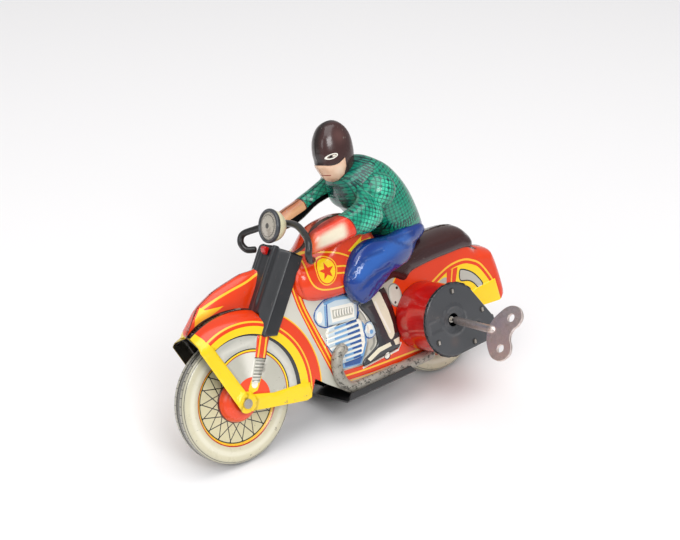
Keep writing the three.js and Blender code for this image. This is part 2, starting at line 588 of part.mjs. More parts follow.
// ---------------------------------------------------------------- winding key
// Drawn with its shaft along Y from the end of the cover, then tilted on the loose socket.
const keyStart = arborTop - KEY_ENGAGEMENT;
const windingKey = () => {
  const lobe = (side, from, to) => arc(side * KEY_LOBE_SPREAD, 9.2, KEY_LOBE_RADIUS, from, to, 8);
  const wing = [[1.5, -2.6], ...lobe(1, -55, 80), [0, 12], ...lobe(-1, 100, 235), [-1.5, -2.6]];
  const holes = [1, -1].map((sign) => holePath(sign * KEY_LOBE_SPREAD, 7.9, 1.7, 16));
  const shape = new THREE.Shape(points(wing));
  shape.holes.push(...holes);
  const blade = new THREE.ExtrudeGeometry(shape, { depth: KEY_SHEET, bevelEnabled: false });
  blade.translate(0, 0, -KEY_SHEET / 2);
  const shaft = rod(0, 0, KEY_SHAFT_RADIUS, 0, KEY_SHAFT_LENGTH)
    .subtract(rod(0, 0, 1.15, -1, KEY_ENGAGEMENT + 1.5));
  const neck = KEY_SHAFT_LENGTH - 0.5;
  const solid = shaft.add(toSolid(blade).translate([0, neck, 0])).rotate([0, KEY_TURN, 0]);
  return solid.rotate([-KEY_TILT, 0, 0]).translate([ARBOR.x, keyStart, ARBOR.y]);
};
add('winding_key', windingKey(), 'steel');

// ---------------------------------------------------------------- stand
const lean = rad(LEAN);
const FLOOR = -TREAD_EDGE * Math.sin(lean) - WHEEL_RADIUS * Math.cos(lean);
const floorAt = (y) => (FLOOR - y * Math.sin(lean)) / Math.cos(lean);
const standWeb = PANEL_BOTTOM - GAP;
const skidY = -STAND_HALF_WIDTH - SKID_REACH;
const standSection = () => {
  const [side, t] = [STAND_HALF_WIDTH, STAND_SHEET];
  const along = [Math.cos(lean), -Math.sin(lean)];
  const up = [Math.sin(lean), Math.cos(lean)];
  const heel = [skidY, floorAt(skidY)];
  const toe = [heel[0] - FOOT_WIDTH * along[0], heel[1] - FOOT_WIDTH * along[1]];
  const raised = ([y, z]) => [y + t * up[0], z + t * up[1]];
  const [toeTop, heelTop] = [raised(toe), raised(heel)];
  return [
    [side, standWeb - t], [side, standWeb - t + STAND_LIP], [side - t, standWeb - t + STAND_LIP],
    [side - t, standWeb], [-side, standWeb], [heelTop[0] - t * 0.6, heelTop[1]], toeTop, toe, heel,
    [-side + t * 0.4, standWeb - t],
  ];
};
const standFront = -WHEEL_RADIUS - 19;
const standRear = REAR_X + WHEEL_RADIUS;
const standGeometry = new THREE.ExtrudeGeometry(
  new THREE.Shape(points(standSection())), { depth: standFront - standRear, bevelEnabled: false },
);
standGeometry.applyMatrix4(new THREE.Matrix4().makeBasis(
  new THREE.Vector3(0, 1, 0), new THREE.Vector3(0, 0, 1), new THREE.Vector3(1, 0, 0),
).setPosition(standRear, 0, 0));
add('stand_plate', toSolid(standGeometry), 'black');

// ---------------------------------------------------------------- rider
const SEAT = SEAT_HEIGHT + GAP;
const torso = [
  [-74.6, 75], [-75.2, 68], [-77, 61.8], [-81.8, 58], [-86.4, 50.5], [-90, 43], [-91.8, SEAT],
  [-113.6, SEAT], [-113.4, 43.5], [-111.5, 50], [-109.4, 57], [-107, 63.7], [-104, 69.7], [-99.4, 76],
  [-95.5, 79.4], [-90, 82.6],
];
const head = [
  [-74, 74.4], [-70.2, 77.2], [-68.4, 82], [-68.1, 88], [-69.4, 94], [-73, 98.9], [-77.5, 100.8], [-82, 99.8],
  [-85.6, 96], [-87.3, 90], [-86.6, 83], [-84.8, 77], [-79.5, 73],
];
const riderHalf = (inset) => dome(torso, TORSO_HALF_WIDTH, 11, inset)
  .add(dome(head, HEAD_HALF_WIDTH, 5.6, inset));
const riderLeft = leftOf(riderHalf(0).subtract(riderHalf(WALL + 0.2)));
const sleeve = [
  [-78, 77.6], [-84.5, 78.6], [-90, 75.5], [-91.6, 69.5], [-88, 62.5], [-80.5, 55.8], [-73.5, 51.6],
  [-67.5, 54], [-58, 53.2], [-49, 52.6], [-42.4, 52.8], [-42.2, 57], [-46, 61.4], [-54.5, 63.6],
  [-62.5, 65.2], [-68.5, 67.8], [-73, 73],
];
const rightSleeve = [
  [-79, 77.6], [-84.5, 78.6], [-90, 75.5], [-91.6, 69.5], [-86, 62.6], [-76, 60], [-66, 57.6], [-58, 56.6],
  [-50, 57.2], [-50.4, 62], [-57, 65.8], [-66, 67.6], [-73, 70.8],
];
const arm = (outline) => {
  const width = (ARM_OUTER - ARM_INNER) * 2;
  const outside = dome(outline, width / 2, 4.6);
  const inside = dome(outline, width / 2, 4.6, WALL + 0.2);
  const outerHalf = box([-300, 0, -100], [300, 60, 200]);
  return outside.subtract(inside).intersect(outerHalf).translate([0, ARM_INNER, 0]);
};
const thigh = [
  [-57.6, 33], [-60, 39.5], [-65, 46], [-73, 48.8], [-84, 47.2], [-97, 47.4], [-108, 46], [-110.6, 41.5],
  [-104, 36.6], [-95, 32], [-83, 30.8], [-77.5, 27], [-71, 22.4], [-66, 21], [-61.5, 24.6],
];
const legBeside = [[-300, TANK_HALF_WIDTH + GAP, -100], [300, 60, 200]];
const leg = dome(thigh, LEG_OUTER, 5.5)
  .subtract(dome(thigh, LEG_OUTER, 5.5, WALL + 0.2))
  .intersect(box(...legBeside));
const legSpace = dome(thigh, LEG_OUTER + GAP, 5.5, -GAP - 0.1)
  .intersect(box([-300, TANK_HALF_WIDTH, -100], [300, 60, 200]));

add('rider_left_half', largest(riderLeft.subtract(legSpace)), 'knit');
add('rider_right_half', largest(mirrored(riderLeft.subtract(legSpace))), 'knit');
add('rider_left_arm', arm(sleeve), 'knit');
add('rider_right_arm', mirrored(arm(rightSleeve)), 'knit');
add('rider_left_leg', leg, 'trousers');
add('rider_right_leg', mirrored(leg), 'trousers');

// ---------------------------------------------------------------- the toy, leaning on its stand
const leaning = new THREE.Group();
leaning.rotation.x = lean;
leaning.add(upright);
const toy = new THREE.Group();
toy.add(leaning);
toy.updateMatrixWorld(true);
const extent = new THREE.Box3().setFromObject(toy, true);
leaning.position.set(
  -(extent.min.x + extent.max.x) / 2, -(extent.min.y + extent.max.y) / 2, -extent.min.z,
);
export default toy;
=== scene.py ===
import math

import bpy
import numpy as np
from mathutils import Matrix, Vector
from mathutils.geometry import delaunay_2d_cdt


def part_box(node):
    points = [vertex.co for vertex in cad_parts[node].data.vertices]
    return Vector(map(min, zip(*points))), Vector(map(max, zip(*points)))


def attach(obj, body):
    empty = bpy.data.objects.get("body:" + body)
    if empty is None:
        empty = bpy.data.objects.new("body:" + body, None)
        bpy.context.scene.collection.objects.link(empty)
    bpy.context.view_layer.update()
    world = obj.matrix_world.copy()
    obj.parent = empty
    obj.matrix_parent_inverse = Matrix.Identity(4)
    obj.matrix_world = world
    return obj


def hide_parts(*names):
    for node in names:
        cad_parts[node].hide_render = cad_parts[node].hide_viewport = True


# Sizes are in millimetres in the machine's own frame: x forward, y to the rider's left, z up,
# with the front axle at the origin. LEANING carries that frame onto the toy as it stands.
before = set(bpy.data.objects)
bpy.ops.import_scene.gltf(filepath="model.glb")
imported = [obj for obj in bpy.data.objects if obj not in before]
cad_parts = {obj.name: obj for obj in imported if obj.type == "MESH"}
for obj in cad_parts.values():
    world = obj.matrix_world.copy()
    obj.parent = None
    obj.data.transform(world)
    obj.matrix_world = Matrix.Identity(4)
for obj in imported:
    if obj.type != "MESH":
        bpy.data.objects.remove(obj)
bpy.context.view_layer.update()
MM = 0.001
LEAN = math.radians(18.6)
WHEELBASE = 113.0
WHEEL_R = 27.0
HALF_WIDTH = 10.6
SEAM = 0.1
SHEET = 0.35
ARBOR = (-99.8, 4.5)
axle_low, axle_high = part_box("front_axle")
ORIGIN = (axle_low + axle_high) / 2
LEANING = Matrix.Translation(ORIGIN) @ Matrix.Rotation(LEAN, 4, "X")


# ---------------------------------------------------------------- colours
def hue(text):
    """An sRGB colour written as hex, in linear light."""
    parts = [int(text[i:i + 2], 16) / 255 for i in (0, 2, 4)]
    return tuple(c / 12.92 if c <= 0.04045 else ((c + 0.055) / 1.055) ** 2.4 for c in parts)


ORANGE = hue("e03a08")
ORANGE_DEEP = hue("d2330e")
YELLOW = hue("f5cf12")
LINE = hue("f6bf2c")
PANEL = hue("b7b5a8")
PANEL_DARK = hue("8f8f86")
TYRE = hue("cfc9ac")
TYRE_PRINT = hue("b4b3a9")
INK = hue("1b1b1e")
CHARCOAL = hue("36383c")
CREAM = hue("e2dcc4")
BROWN = hue("351312")
SEAT_GREY = hue("351a1c")
HUB_RED = hue("ea4516")
BLUE_PALE = hue("c3d2da")
BLUE_MID = hue("6f9fcb")
BLUE_DEEP = hue("1d4f93")
WHITE = hue("ece9df")
DARK_INSIDE = hue("141210")
TIN = hue("8d8a84")
TEAL = hue("0f9273")
TROUSER = hue("0f3684")
SKIN = hue("e9c3a6")
GLOVE_RED = hue("d9371a")


# ---------------------------------------------------------------- flat drawing
def arc(cx, cz, radius, start, end, steps=0):
    steps = steps or max(6, int(abs(end - start) * math.radians(radius) / 1.2) + 1)
    angles = np.radians(np.linspace(start, end, steps + 1))
    return [(cx + radius * math.cos(a), cz + radius * math.sin(a)) for a in angles]


def disc(cx, cz, radius, rz=None, turn=0.0, steps=48):
    rz = rz or radius
    found = []
    for a in np.linspace(0, 2 * math.pi, steps, endpoint=False):
        x, z = radius * math.cos(a), rz * math.sin(a)
        found.append((cx + x * math.cos(turn) - z * math.sin(turn), cz + x * math.sin(turn) + z
                      * math.cos(turn)))
    return found


def curve(points, closed=False, steps=6):
    """A smooth line through the points (Catmull-Rom)."""
    p = np.array(points, float)
    ring = np.vstack([p[-1:], p, p[:2]]) if closed else np.vstack([2 * p[0] - p[1], p, 2 * p[-1] - p[-2]])
    found = []
    for i in range(1, len(ring) - 2):
        a, b, c, d = ring[i - 1:i + 3]
        for t in np.linspace(0, 1, steps, endpoint=False):
            found.append(tuple(0.5 * (2 * b + (c - a) * t + (2 * a - 5 * b + 4 * c - d) * t ** 2
                                      + (3 * b - a - 3 * c + d) * t ** 3)))
    if not closed:
        found.append(tuple(p[-1]))
    return found


def offset_line(points, distance, closed=False):
    p = np.array(points, float)
    if closed:
        before, after = np.roll(p, 1, 0), np.roll(p, -1, 0)
    else:
        before, after = np.vstack([p[:1], p[:-1]]), np.vstack([p[1:], p[-1:]])
    d = after - before
    d /= np.maximum(np.hypot(d[:, 0], d[:, 1]), 1e-9)[:, None]
    return p + np.stack([-d[:, 1], d[:, 0]], 1) * distance


def dense(line, step=1.1):
    """The same line with a point at least every step."""
    found = [tuple(line[0])]
    for a, b in zip(line[:-1], line[1:]):
        count = max(1, int(math.ceil(math.dist(a, b) / step)))
        found += [tuple(np.array(a) + (np.array(b) - a) * (i + 1) / count) for i in range(count)]
    return found


def ribbon(points, width, closed=False, taper=1.0):
    """A printed line of that width, as the polygons of an even-odd region."""
    n = len(points)
    half = np.linspace(width, width * taper, n)[:, None] / 2
    left = offset_line(points, 1, closed)
    p = np.array(points, float)
    up, down = p + (left - p) * half, p - (left - p) * half
    if closed:
        return [list(map(tuple, up)), list(map(tuple, down))]
    return [list(map(tuple, up)) + list(map(tuple, down[::-1]))]


def inside(points, polygons):
    """Which points lie in an even-odd region."""
    hit = np.zeros(len(points), bool)
    low = np.min([np.min(p, 0) for p in polygons], 0)
    high = np.max([np.max(p, 0) for p in polygons], 0)
    near = np.all((points >= low) & (points <= high), axis=1)
    px, pz = points[near, 0][:, None], points[near, 1][:, None]
    odd = np.zeros(near.sum(), int)
    for polygon in polygons:
        a = np.array(polygon, float)
        b = np.roll(a, -1, 0)
        crosses = (a[:, 1] > pz) != (b[:, 1] > pz)
        rise = np.where(np.abs(b[:, 1] - a[:, 1]) < 1e-12, 1e-12, b[:, 1] - a[:, 1])
        odd += (crosses & (px < a[:, 0] + (pz - a[:, 1]) * (b[:, 0] - a[:, 0]) / rise)).sum(1)
    hit[near] = odd % 2 == 1
    return hit


def distance(points, line, closed=False):
    """Each point's distance to a polyline."""
    a = np.array(line, float)
    a, b = (a, np.roll(a, -1, 0)) if closed else (a[:-1], a[1:])
    best = np.full(len(points), 1e9)
    for p, q in zip(a, b):
        d = q - p
        t = np.clip(((points - p) @ d) / max(d @ d, 1e-12), 0, 1)
        gap = points - p - t[:, None] * d
        best = np.minimum(best, np.hypot(gap[:, 0], gap[:, 1]))
    return best


def smooth(value, low, high):
    t = np.clip((value - low) / (high - low), 0, 1)
    return t * t * (3 - 2 * t)


def rounded(depth, reach):
    """A quarter ellipse from 0 at the edge to 1 at the given reach."""
    return np.sqrt(np.maximum(1 - (1 - np.clip(depth / reach, 0, 1)) ** 2, 0))


class Inflated:
    """A smooth dome over an outline: 0 along it and about 1 at its middle."""

    def __init__(self, outline, step=0.8, rounds=500):
        self.outline = [tuple(q) for q in outline]
        p = np.array(outline, float)
        self.low, self.step = p.min(0) - 2 * step, step
        size = np.ceil((p.max(0) + 2 * step - self.low) / step).astype(int) + 1
        gx, gz = np.meshgrid(np.arange(size[0]), np.arange(size[1]), indexing="ij")
        spots = np.stack([gx.ravel(), gz.ravel()], 1) * step + self.low
        mask = inside(spots, [outline]).reshape(size)
        u = np.zeros(size)
        for _ in range(rounds):
            for parity in (0, 1):
                near = np.zeros(size)
                near[1:-1, 1:-1] = (u[2:, 1:-1] + u[:-2, 1:-1] + u[1:-1, 2:] + u[1:-1, :-2]) / 4 + 1
                turn = mask & ((gx + gz) % 2 == parity)
                u[turn] += 1.7 * (near[turn] - u[turn])
        self.grid = u / u.max()

    def __call__(self, points):
        at = (points - self.low) / self.step
        limit = np.array(self.grid.shape) - 2
        cell = np.clip(np.floor(at).astype(int), 0, limit)
        f = np.clip(at - cell, 0, 1)
        g, i, j = self.grid, cell[:, 0], cell[:, 1]
        low = g[i, j] * (1 - f[:, 0]) + g[i + 1, j] * f[:, 0]
        high = g[i, j + 1] * (1 - f[:, 0]) + g[i + 1, j + 1] * f[:, 0]
        dome = np.sqrt(np.maximum(low * (1 - f[:, 1]) + high * f[:, 1], 0))
        depth = np.where(inside(points, [self.outline]), distance(points, self.outline, True), 0)
        return dome * rounded(depth, 2 * self.step)


def place(obj, body, *nodes, matrix=LEANING):
    """Puts a piece where it belongs, on its body, and hides the CAD nodes it stands for."""
    obj.matrix_world = matrix
    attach(obj, body)
    if nodes:
        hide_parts(*nodes)
    return obj


def mesh_object(name, verts, faces, colours=None, normals=None, material=None, flat=False):
    """A mesh in millimetres made into an object, with a colour at each face corner."""
    mesh = bpy.data.meshes.new(name)
    mesh.from_pydata([tuple(v) for v in np.array(verts, float) * MM], [],
                     [tuple(map(int, f)) for f in faces])
    if colours is not None:
        # These corner colours are the printed colours and, on some pieces, painted highlights and shade.
        attribute = mesh.color_attributes.new("print_and_painted_light", "FLOAT_COLOR", "CORNER")
        flat_colours = np.ones((len(mesh.loops), 4), np.float32)
        flat_colours[:, :3] = colours
        attribute.data.foreach_set("color", flat_colours.ravel())
    mesh.polygons.foreach_set("use_smooth", [not flat] * len(mesh.polygons))
    if normals is not None:
        mesh.normals_split_custom_set_from_vertices([tuple(n) for n in normals])
    mesh.update()
    obj = bpy.data.objects.new(name, mesh)
    bpy.context.scene.collection.objects.link(obj)
    if material:
        mesh.materials.append(material)
    return obj


def pressing(name, outline, height, layers, material, side=1, pitch=2.2, rings=(), holes=(), sheet=SHEET,
             back=DARK_INSIDE, wavy=True):
    """A sheet pressed to y = side * height(x, z) within an outline, and coloured with layers in order:
    printed colours, and on some pieces painted highlights and shade.

    A layer is (colour or function of points, polygons). rings are (line, depths): rows of points
    beside a line where the sheet curves. Each edge of a printed or painted region is an edge of the mesh.
    """
    verts, edges = [], []

    def draw(line):
        start = len(verts)
        verts.extend((float(x), float(z)) for x, z in line)
        count = len(line)
        edges.extend((start + i, start + i + 1) for i in range(count - 1))
        edges.append((start + count - 1, start))

    draw(outline)
    low, high = np.min(outline, 0), np.max(outline, 0)
    for hole in holes:
        draw(hole)
    for _, polygons in layers:
        for polygon in polygons:
            draw(polygon)
    for line, depths in rings:
        line = dense(line)
        for depth in depths:
            for sign in (1, -1):
                row = offset_line(line, sign * depth)
                good = inside(row, [outline]) & (distance(row, line) > depth * 0.97)
                verts.extend(map(tuple, row[good]))
    gx, gz = np.meshgrid(np.arange(low[0], high[0], pitch), np.arange(low[1], high[1], pitch * 0.866))
    gx = gx + (np.arange(gx.shape[0]) % 2)[:, None] * pitch / 2
    grid = np.stack([gx.ravel(), gz.ravel()], 1)
    verts.extend(map(tuple, grid[inside(grid, [outline])]))
    found = delaunay_2d_cdt([Vector(v) for v in verts], edges, [], 0, 1e-4)
    flat = np.array([tuple(v) for v in found[0]], float)
    tris = np.array([f for f in found[2] if len(f) == 3], int)
    middles = flat[tris].mean(1)
    keep = inside(middles, [outline])
    for hole in holes:
        keep &= ~inside(middles, [hole])
    a, b, c = (flat[tris[:, k]] for k in range(3))
    area = np.abs((b[:, 0] - a[:, 0]) * (c[:, 1] - a[:, 1]) - (b[:, 1] - a[:, 1]) * (c[:, 0] - a[:, 0]))
    keep &= area > 1e-6
    tris, middles = tris[keep], middles[keep]
    used = np.unique(tris)
    renumber = np.full(len(flat), -1)
    renumber[used] = np.arange(len(used))
    flat, tris = flat[used], renumber[tris]

    colours = np.zeros((len(tris), 3, 3))
    for paint, polygons in layers:
        hit = inside(middles, polygons) if polygons else np.ones(len(middles), bool)
        if callable(paint):
            corners = flat[tris[hit].ravel()]
            under = colours[hit].reshape(-1, 3)
            colours[hit] = paint(corners, under).reshape(-1, 3, 3)
        else:
            colours[hit] = paint

    y = height(flat)
    e = 0.04
    dx = (height(flat + [e, 0]) - height(flat - [e, 0])) / (2 * e)
    dz = (height(flat + [0, e]) - height(flat - [0, e])) / (2 * e)
    normal = np.stack([-dx, np.ones(len(flat)), -dz], 1)
    normal /= np.linalg.norm(normal, axis=1)[:, None]
    if wavy:
        y = y + 0.06 * np.sin(flat[:, 0] * 0.31 + 1) * np.sin(flat[:, 1] * 0.37) * np.clip(y / 4, 0, 1)
    outer = np.stack([flat[:, 0], y + SEAM, flat[:, 1]], 1)
    inner = outer - normal * sheet
    raised_up = outer[:, 1] > SEAM
    inner[raised_up, 1] = np.maximum(inner[raised_up, 1], SEAM * 0.5)
    n = len(flat)
    turned = np.cross(outer[tris[:, 1]] - outer[tris[:, 0]], outer[tris[:, 2]] - outer[tris[:, 0]])
    flip = (turned * normal[tris[:, 0]]).sum(1) < 0
    tris[flip] = tris[flip][:, ::-1]
    colours[flip] = colours[flip][:, ::-1]
    pairs = {}
    for f, tri in enumerate(tris):
        for k in range(3):
            p, q = int(tri[k]), int(tri[(k + 1) % 3])
            if (q, p) in pairs:
                del pairs[(q, p)]
            else:
                pairs[(p, q)] = colours[f, k]
    rim = [(q, p, p + n, q + n) for p, q in pairs]
    faces = [tuple(t) for t in tris] + [tuple(t[::-1] + n) for t in tris] + rim
    corner = np.vstack([
        colours.reshape(-1, 3), np.tile(back, (3 * len(tris), 1)),
        np.repeat(np.array([0.55 * np.array(v) + 0.1 * np.array(TIN)
                            for v in pairs.values()]).reshape(-1, 3), 4, 0),
    ])
    points = np.vstack([outer, inner])
    normals = np.vstack([normal, -normal])
    if side < 0:
        points[:, 1] *= -1
        normals[:, 1] *= -1
        faces = [f[::-1] for f in faces]
        sizes = [len(f) for f in faces]
        ends = np.cumsum(sizes)
        corner = np.vstack([corner[e - s:e][::-1] for e, s in zip(ends, sizes)])
    return mesh_object(name, points, faces, corner, normals, material)


# ---------------------------------------------------------------- materials
class Look:
    """A material's node tree, with short calls for the nodes it uses."""

    def __init__(self, name):
        self.material = bpy.data.materials.new(name)
        self.material.use_nodes = True
        self.tree = self.material.node_tree
        self.shader = next(n for n in self.tree.nodes if n.type == "BSDF_PRINCIPLED")
        self.here = self.node("ShaderNodeTexCoord").outputs["Object"]

    def node(self, kind, **values):
        made = self.tree.nodes.new(kind)
        for key, value in values.items():
            setattr(made, key, value)
        return made

    def put(self, socket, value):
        if hasattr(value, "is_linked"):
            self.tree.links.new(value, socket)
        else:
            socket.default_value = value

    def math(self, operation, *values):
        made = self.node("ShaderNodeMath", operation=operation)
        for socket, value in zip(made.inputs, values):
            self.put(socket, value)
        return made.outputs[0]

    def noise(self, scale, detail=3.0, rough=0.55, stretch=None):
        made = self.node("ShaderNodeTexNoise")
        where = self.here
        if stretch:
            mapping = self.node("ShaderNodeMapping")
            mapping.inputs["Scale"].default_value = stretch
            self.put(mapping.inputs["Vector"], where)
            where = mapping.outputs[0]
        self.put(made.inputs["Vector"], where)
        made.inputs["Scale"].default_value = scale
        made.inputs["Detail"].default_value = detail
        made.inputs["Roughness"].default_value = rough
        return made.outputs["Fac"]

    def band(self, value, low, high, out_low=0.0, out_high=1.0):
        made = self.node("ShaderNodeMapRange", interpolation_type="SMOOTHSTEP")
        for socket, number in zip(made.inputs[:5], (value, low, high, out_low, out_high)):
            self.put(socket, number)
        return made.outputs[0]

    def mix(self, amount, a, b):
        made = self.node("ShaderNodeMix", data_type="RGBA")
        self.put(made.inputs["Factor"], amount)
        for socket, colour in ((made.inputs[6], a), (made.inputs[7], b)):
            self.put(socket, (*colour, 1) if isinstance(colour, tuple) else colour)
        return made.outputs[2]

    def scaled(self, colour, amount):
        made = self.node("ShaderNodeVectorMath", operation="SCALE")
        self.put(made.inputs[0], colour)
        self.put(made.inputs["Scale"], amount)
        return made.outputs[0]

    def bump(self, height, strength, depth):
        made = self.node("ShaderNodeBump")
        made.inputs["Strength"].default_value = strength
        made.inputs["Distance"].default_value = depth
        self.put(made.inputs["Height"], height)
        self.put(self.shader.inputs["Normal"], made.outputs[0])

    def finish(self, colour, rough=0.3, metal=0.0, coat=0.0, specular=0.5):
        for name, value in (("Base Color", (*colour, 1) if isinstance(colour, tuple) else colour),
                            ("Roughness", rough), ("Metallic", metal), ("Coat Weight", coat),
                            ("Specular IOR Level", specular)):
            self.put(self.shader.inputs[name], value)
        self.shader.inputs["Coat Roughness"].default_value = 0.08
        return self.material


def litho(name, wear=0.5, gloss=0.22):
    """Printed and lacquered tin: the printed colours with, on some pieces, painted highlights and shade; its
    uneven ink, scratches and chips down to the metal.
    """
    look = Look(name)
    ink = look.node("ShaderNodeAttribute", attribute_name="print_and_painted_light").outputs["Color"]
    cloud = look.noise(55, 4)
    fine = look.noise(420, 3, 0.7)
    colour = look.scaled(ink, look.math("MULTIPLY_ADD", cloud, 0.22, 0.89))
    grime = look.band(look.noise(120, 6, 0.75), 0.60, 0.80, 0.0, 0.28 * wear)
    colour = look.mix(grime, colour, hue("40352c"))
    scratch = look.noise(300, 2, 0.5, stretch=(1, 1, 9))
    chips = look.math("MULTIPLY", look.band(fine, 0.655, 0.675), look.band(look.noise(38, 2), 0.50, 0.62))
    chips = look.math("MULTIPLY", chips, wear)
    marks = look.math("MAXIMUM", chips, look.band(scratch, 0.735, 0.76, 0.0, 0.6 * wear))
    colour = look.mix(marks, colour, hue("6f665c"))
    rough = look.math("MULTIPLY_ADD", look.noise(90, 4), 0.16, gloss - 0.06)
    look.bump(look.math("ADD", look.noise(26, 2), look.math("MULTIPLY", marks, -0.25)), 0.25, 0.0006)
    return look.finish(colour, rough, coat=0.35)


LITHO = litho("litho_tin")
LITHO_WHEEL = litho("litho_wheel", wear=0.7, gloss=0.26)


# ---------------------------------------------------------------- outlines the pressings share
FENDER_R = 37.5
REAR = (-WHEELBASE, 0.0)


TANK_TOP = [(-38, 54.5), (-44, 51), (-50, 51.8), (-54, 55), (-59, 58.8), (-66, 60.2), (-74, 60), (-80, 56.5),
            (-84, 50), (-87, 42.5), (-91, 37.8)]
REAR_LINE = TANK_TOP[-1:] + [(-105, 37.9), (-117, 37.8), (-127, 37.6), (-134, 36.2), (-138, 32.4),
                             (-140, 28.6), (-140.3, 24.4), (-144.2, 23.2), (-150, 20.6), (-151.9, 16.4),
                             (-153.6, 7.5), (-154.3, 0.2), (-153.9, -2.8)]
FRONT_ARC = arc(-3, 0, FENDER_R, 62, 118, 30)
RIDGE = [(14.6, 33.1), (12.6, 35.3), (9.2, 38), (4.7, 41.3), (-1.2, 44.2), (-6.9, 46.3), (-15, 48),
         (-20.6, 48.9), (-26.8, 48.8), (-33, 50.6)]
BOTTOM = [(-146.6, -4.2), (-117.2, -1.6), *arc(*REAR, 4.2, 205, 290, 8), (-104, -14.6), (-100, -15.8),
          (-53, -15.8), (-46, -10.5), (-41, -6.8), (-36, -2.5), (-32, -9.4), (-29.5, -10),
          *arc(0, 0, 4.2, 250, 318, 8), (16, 28)]
LEFT_LINE = FRONT_ARC + [(-23.4, 38), (-27.4, 46), (-32.6, 51), *curve(TANK_TOP, steps=3),
                         *curve(REAR_LINE, steps=4)[1:]]
RIGHT_LINE = curve(RIDGE, steps=5) + [*curve(TANK_TOP, steps=3), *curve(REAR_LINE, steps=4)[1:]]
TANK_LOW = curve([(-44, 51), (-39, 47), (-36, 42), (-36, 36.5), (-40, 32), (-47.4, 29.5), (-61, 28.2),
                  (-70, 29.2),
            (-80, 32.3), (-89, 38)], steps=5)
TANK = TANK_LOW + curve(TANK_TOP, steps=3)[::-1]
SEAT = curve([(-74, 31), (-80.5, 25.6), (-88, 26.4), (-94, 23.4), (-99, 26), (-109.7, 27), (-121, 27),
              (-132, 26.6), (-141, 23.6)], steps=5) + [(-146, 34), (-134, 45), (-90, 45), (-80, 38)]


def raised(points, polygon, amount, reach):
    """How far a pressed panel stands out at each point."""
    found = np.zeros(len(points))
    hit = inside(points, [polygon])
    if hit.any():
        found[hit] = amount * rounded(distance(points[hit], polygon, True), reach)
    return found


# ---------------------------------------------------------------- what is printed on the sides, and the light and shade painted on them
def blend_to(colour, weight):
    """A layer that fades what is under it towards a colour, by a function of the points."""
    def paint(points, under):
        w = np.clip(weight(points), 0, 1)[:, None]
        return under * (1 - w) + np.array(colour) * w
    return paint


def star(cx, cz, outer, inner):
    spots = []
    for i in range(10):
        a = math.radians(90 + 36 * i)
        r = outer if i % 2 == 0 else inner
        spots.append((cx + r * math.cos(a), cz + r * math.sin(a)))
    return spots


BOOT = curve([(-66.4, 20.6), (-72.4, 21.4), (-81.2, 23.6), (-83.6, 16), (-84.9, 8), (-84.9, 1.9),
              (-84.4, -2.8), (-82.6, -5.4), (-73, -6.2), (-64, -7), (-61.9, -5.6), (-63, -3.8), (-67, -2),
              (-71.6, 0.6), (-72, 6), (-70.2, 13)], closed=True, steps=4)
ROCKER = [(-43.6, 25.8), (-48, 28.4), (-54, 28.8), (-65.3, 26.4), (-65.6, 21), (-63.8, 15.2), (-48.6, 17.0),
          (-46, 17.6), (-43.4, 19.6), (-42.2, 23)]
BLOCK = [(-47.6, 17), (-64.4, 15.6), (-68.2, 11), (-67.6, 5), (-66.4, 2.2), (-63.6, -2), (-61.3, -5.4),
         (-50.3, -3.9), (-49.6, 0.4), (-45, 9.4), (-45.8, 12)]
FIN_STARTS = [(-47.0, 15.4), (-46.2, 13.2), (-45.4, 11.0), (-45.2, 8.8), (-46.6, 6.5), (-48.6, 4.2),
              (-50.2, 1.9), (-50.6, -0.3)]
FIN_ENDS = [(-65.2, 14.8), (-66.0, 12.4), (-66.2, 10.0), (-66.0, 7.6), (-65.6, 5.3), (-65.0, 3.1),
            (-64.0, 1.0), (-62.8, -1.0)]
STRUT = [(-12.4, 25.8), (-18.2, 23.9), (-13.9, 14.9), (-8.9, 17.0)]
SPRING = [(-13.9, 14.9), (-8.9, 17.0), (-4.4, 7.4), (-8.3, 6.2)]
FRONT_STAY = [(17, 29.6), (11.6, 31.4), (9.2, 27.6), (-1.4, 3.6), (3.6, -2.6), (16.4, 28)]
REAR_STAY = [(0.5, 4.0), (-14, -0.4), (-29.6, -1.9), (-33, -3), (-33, -11), (-1.5, -5)]
BACK_STAY = [(-112.6, 3.6), (-126, 4.4), (-135.2, 5.8), (-146.6, 6.6), (-148, -5), (-113, -4.6)]


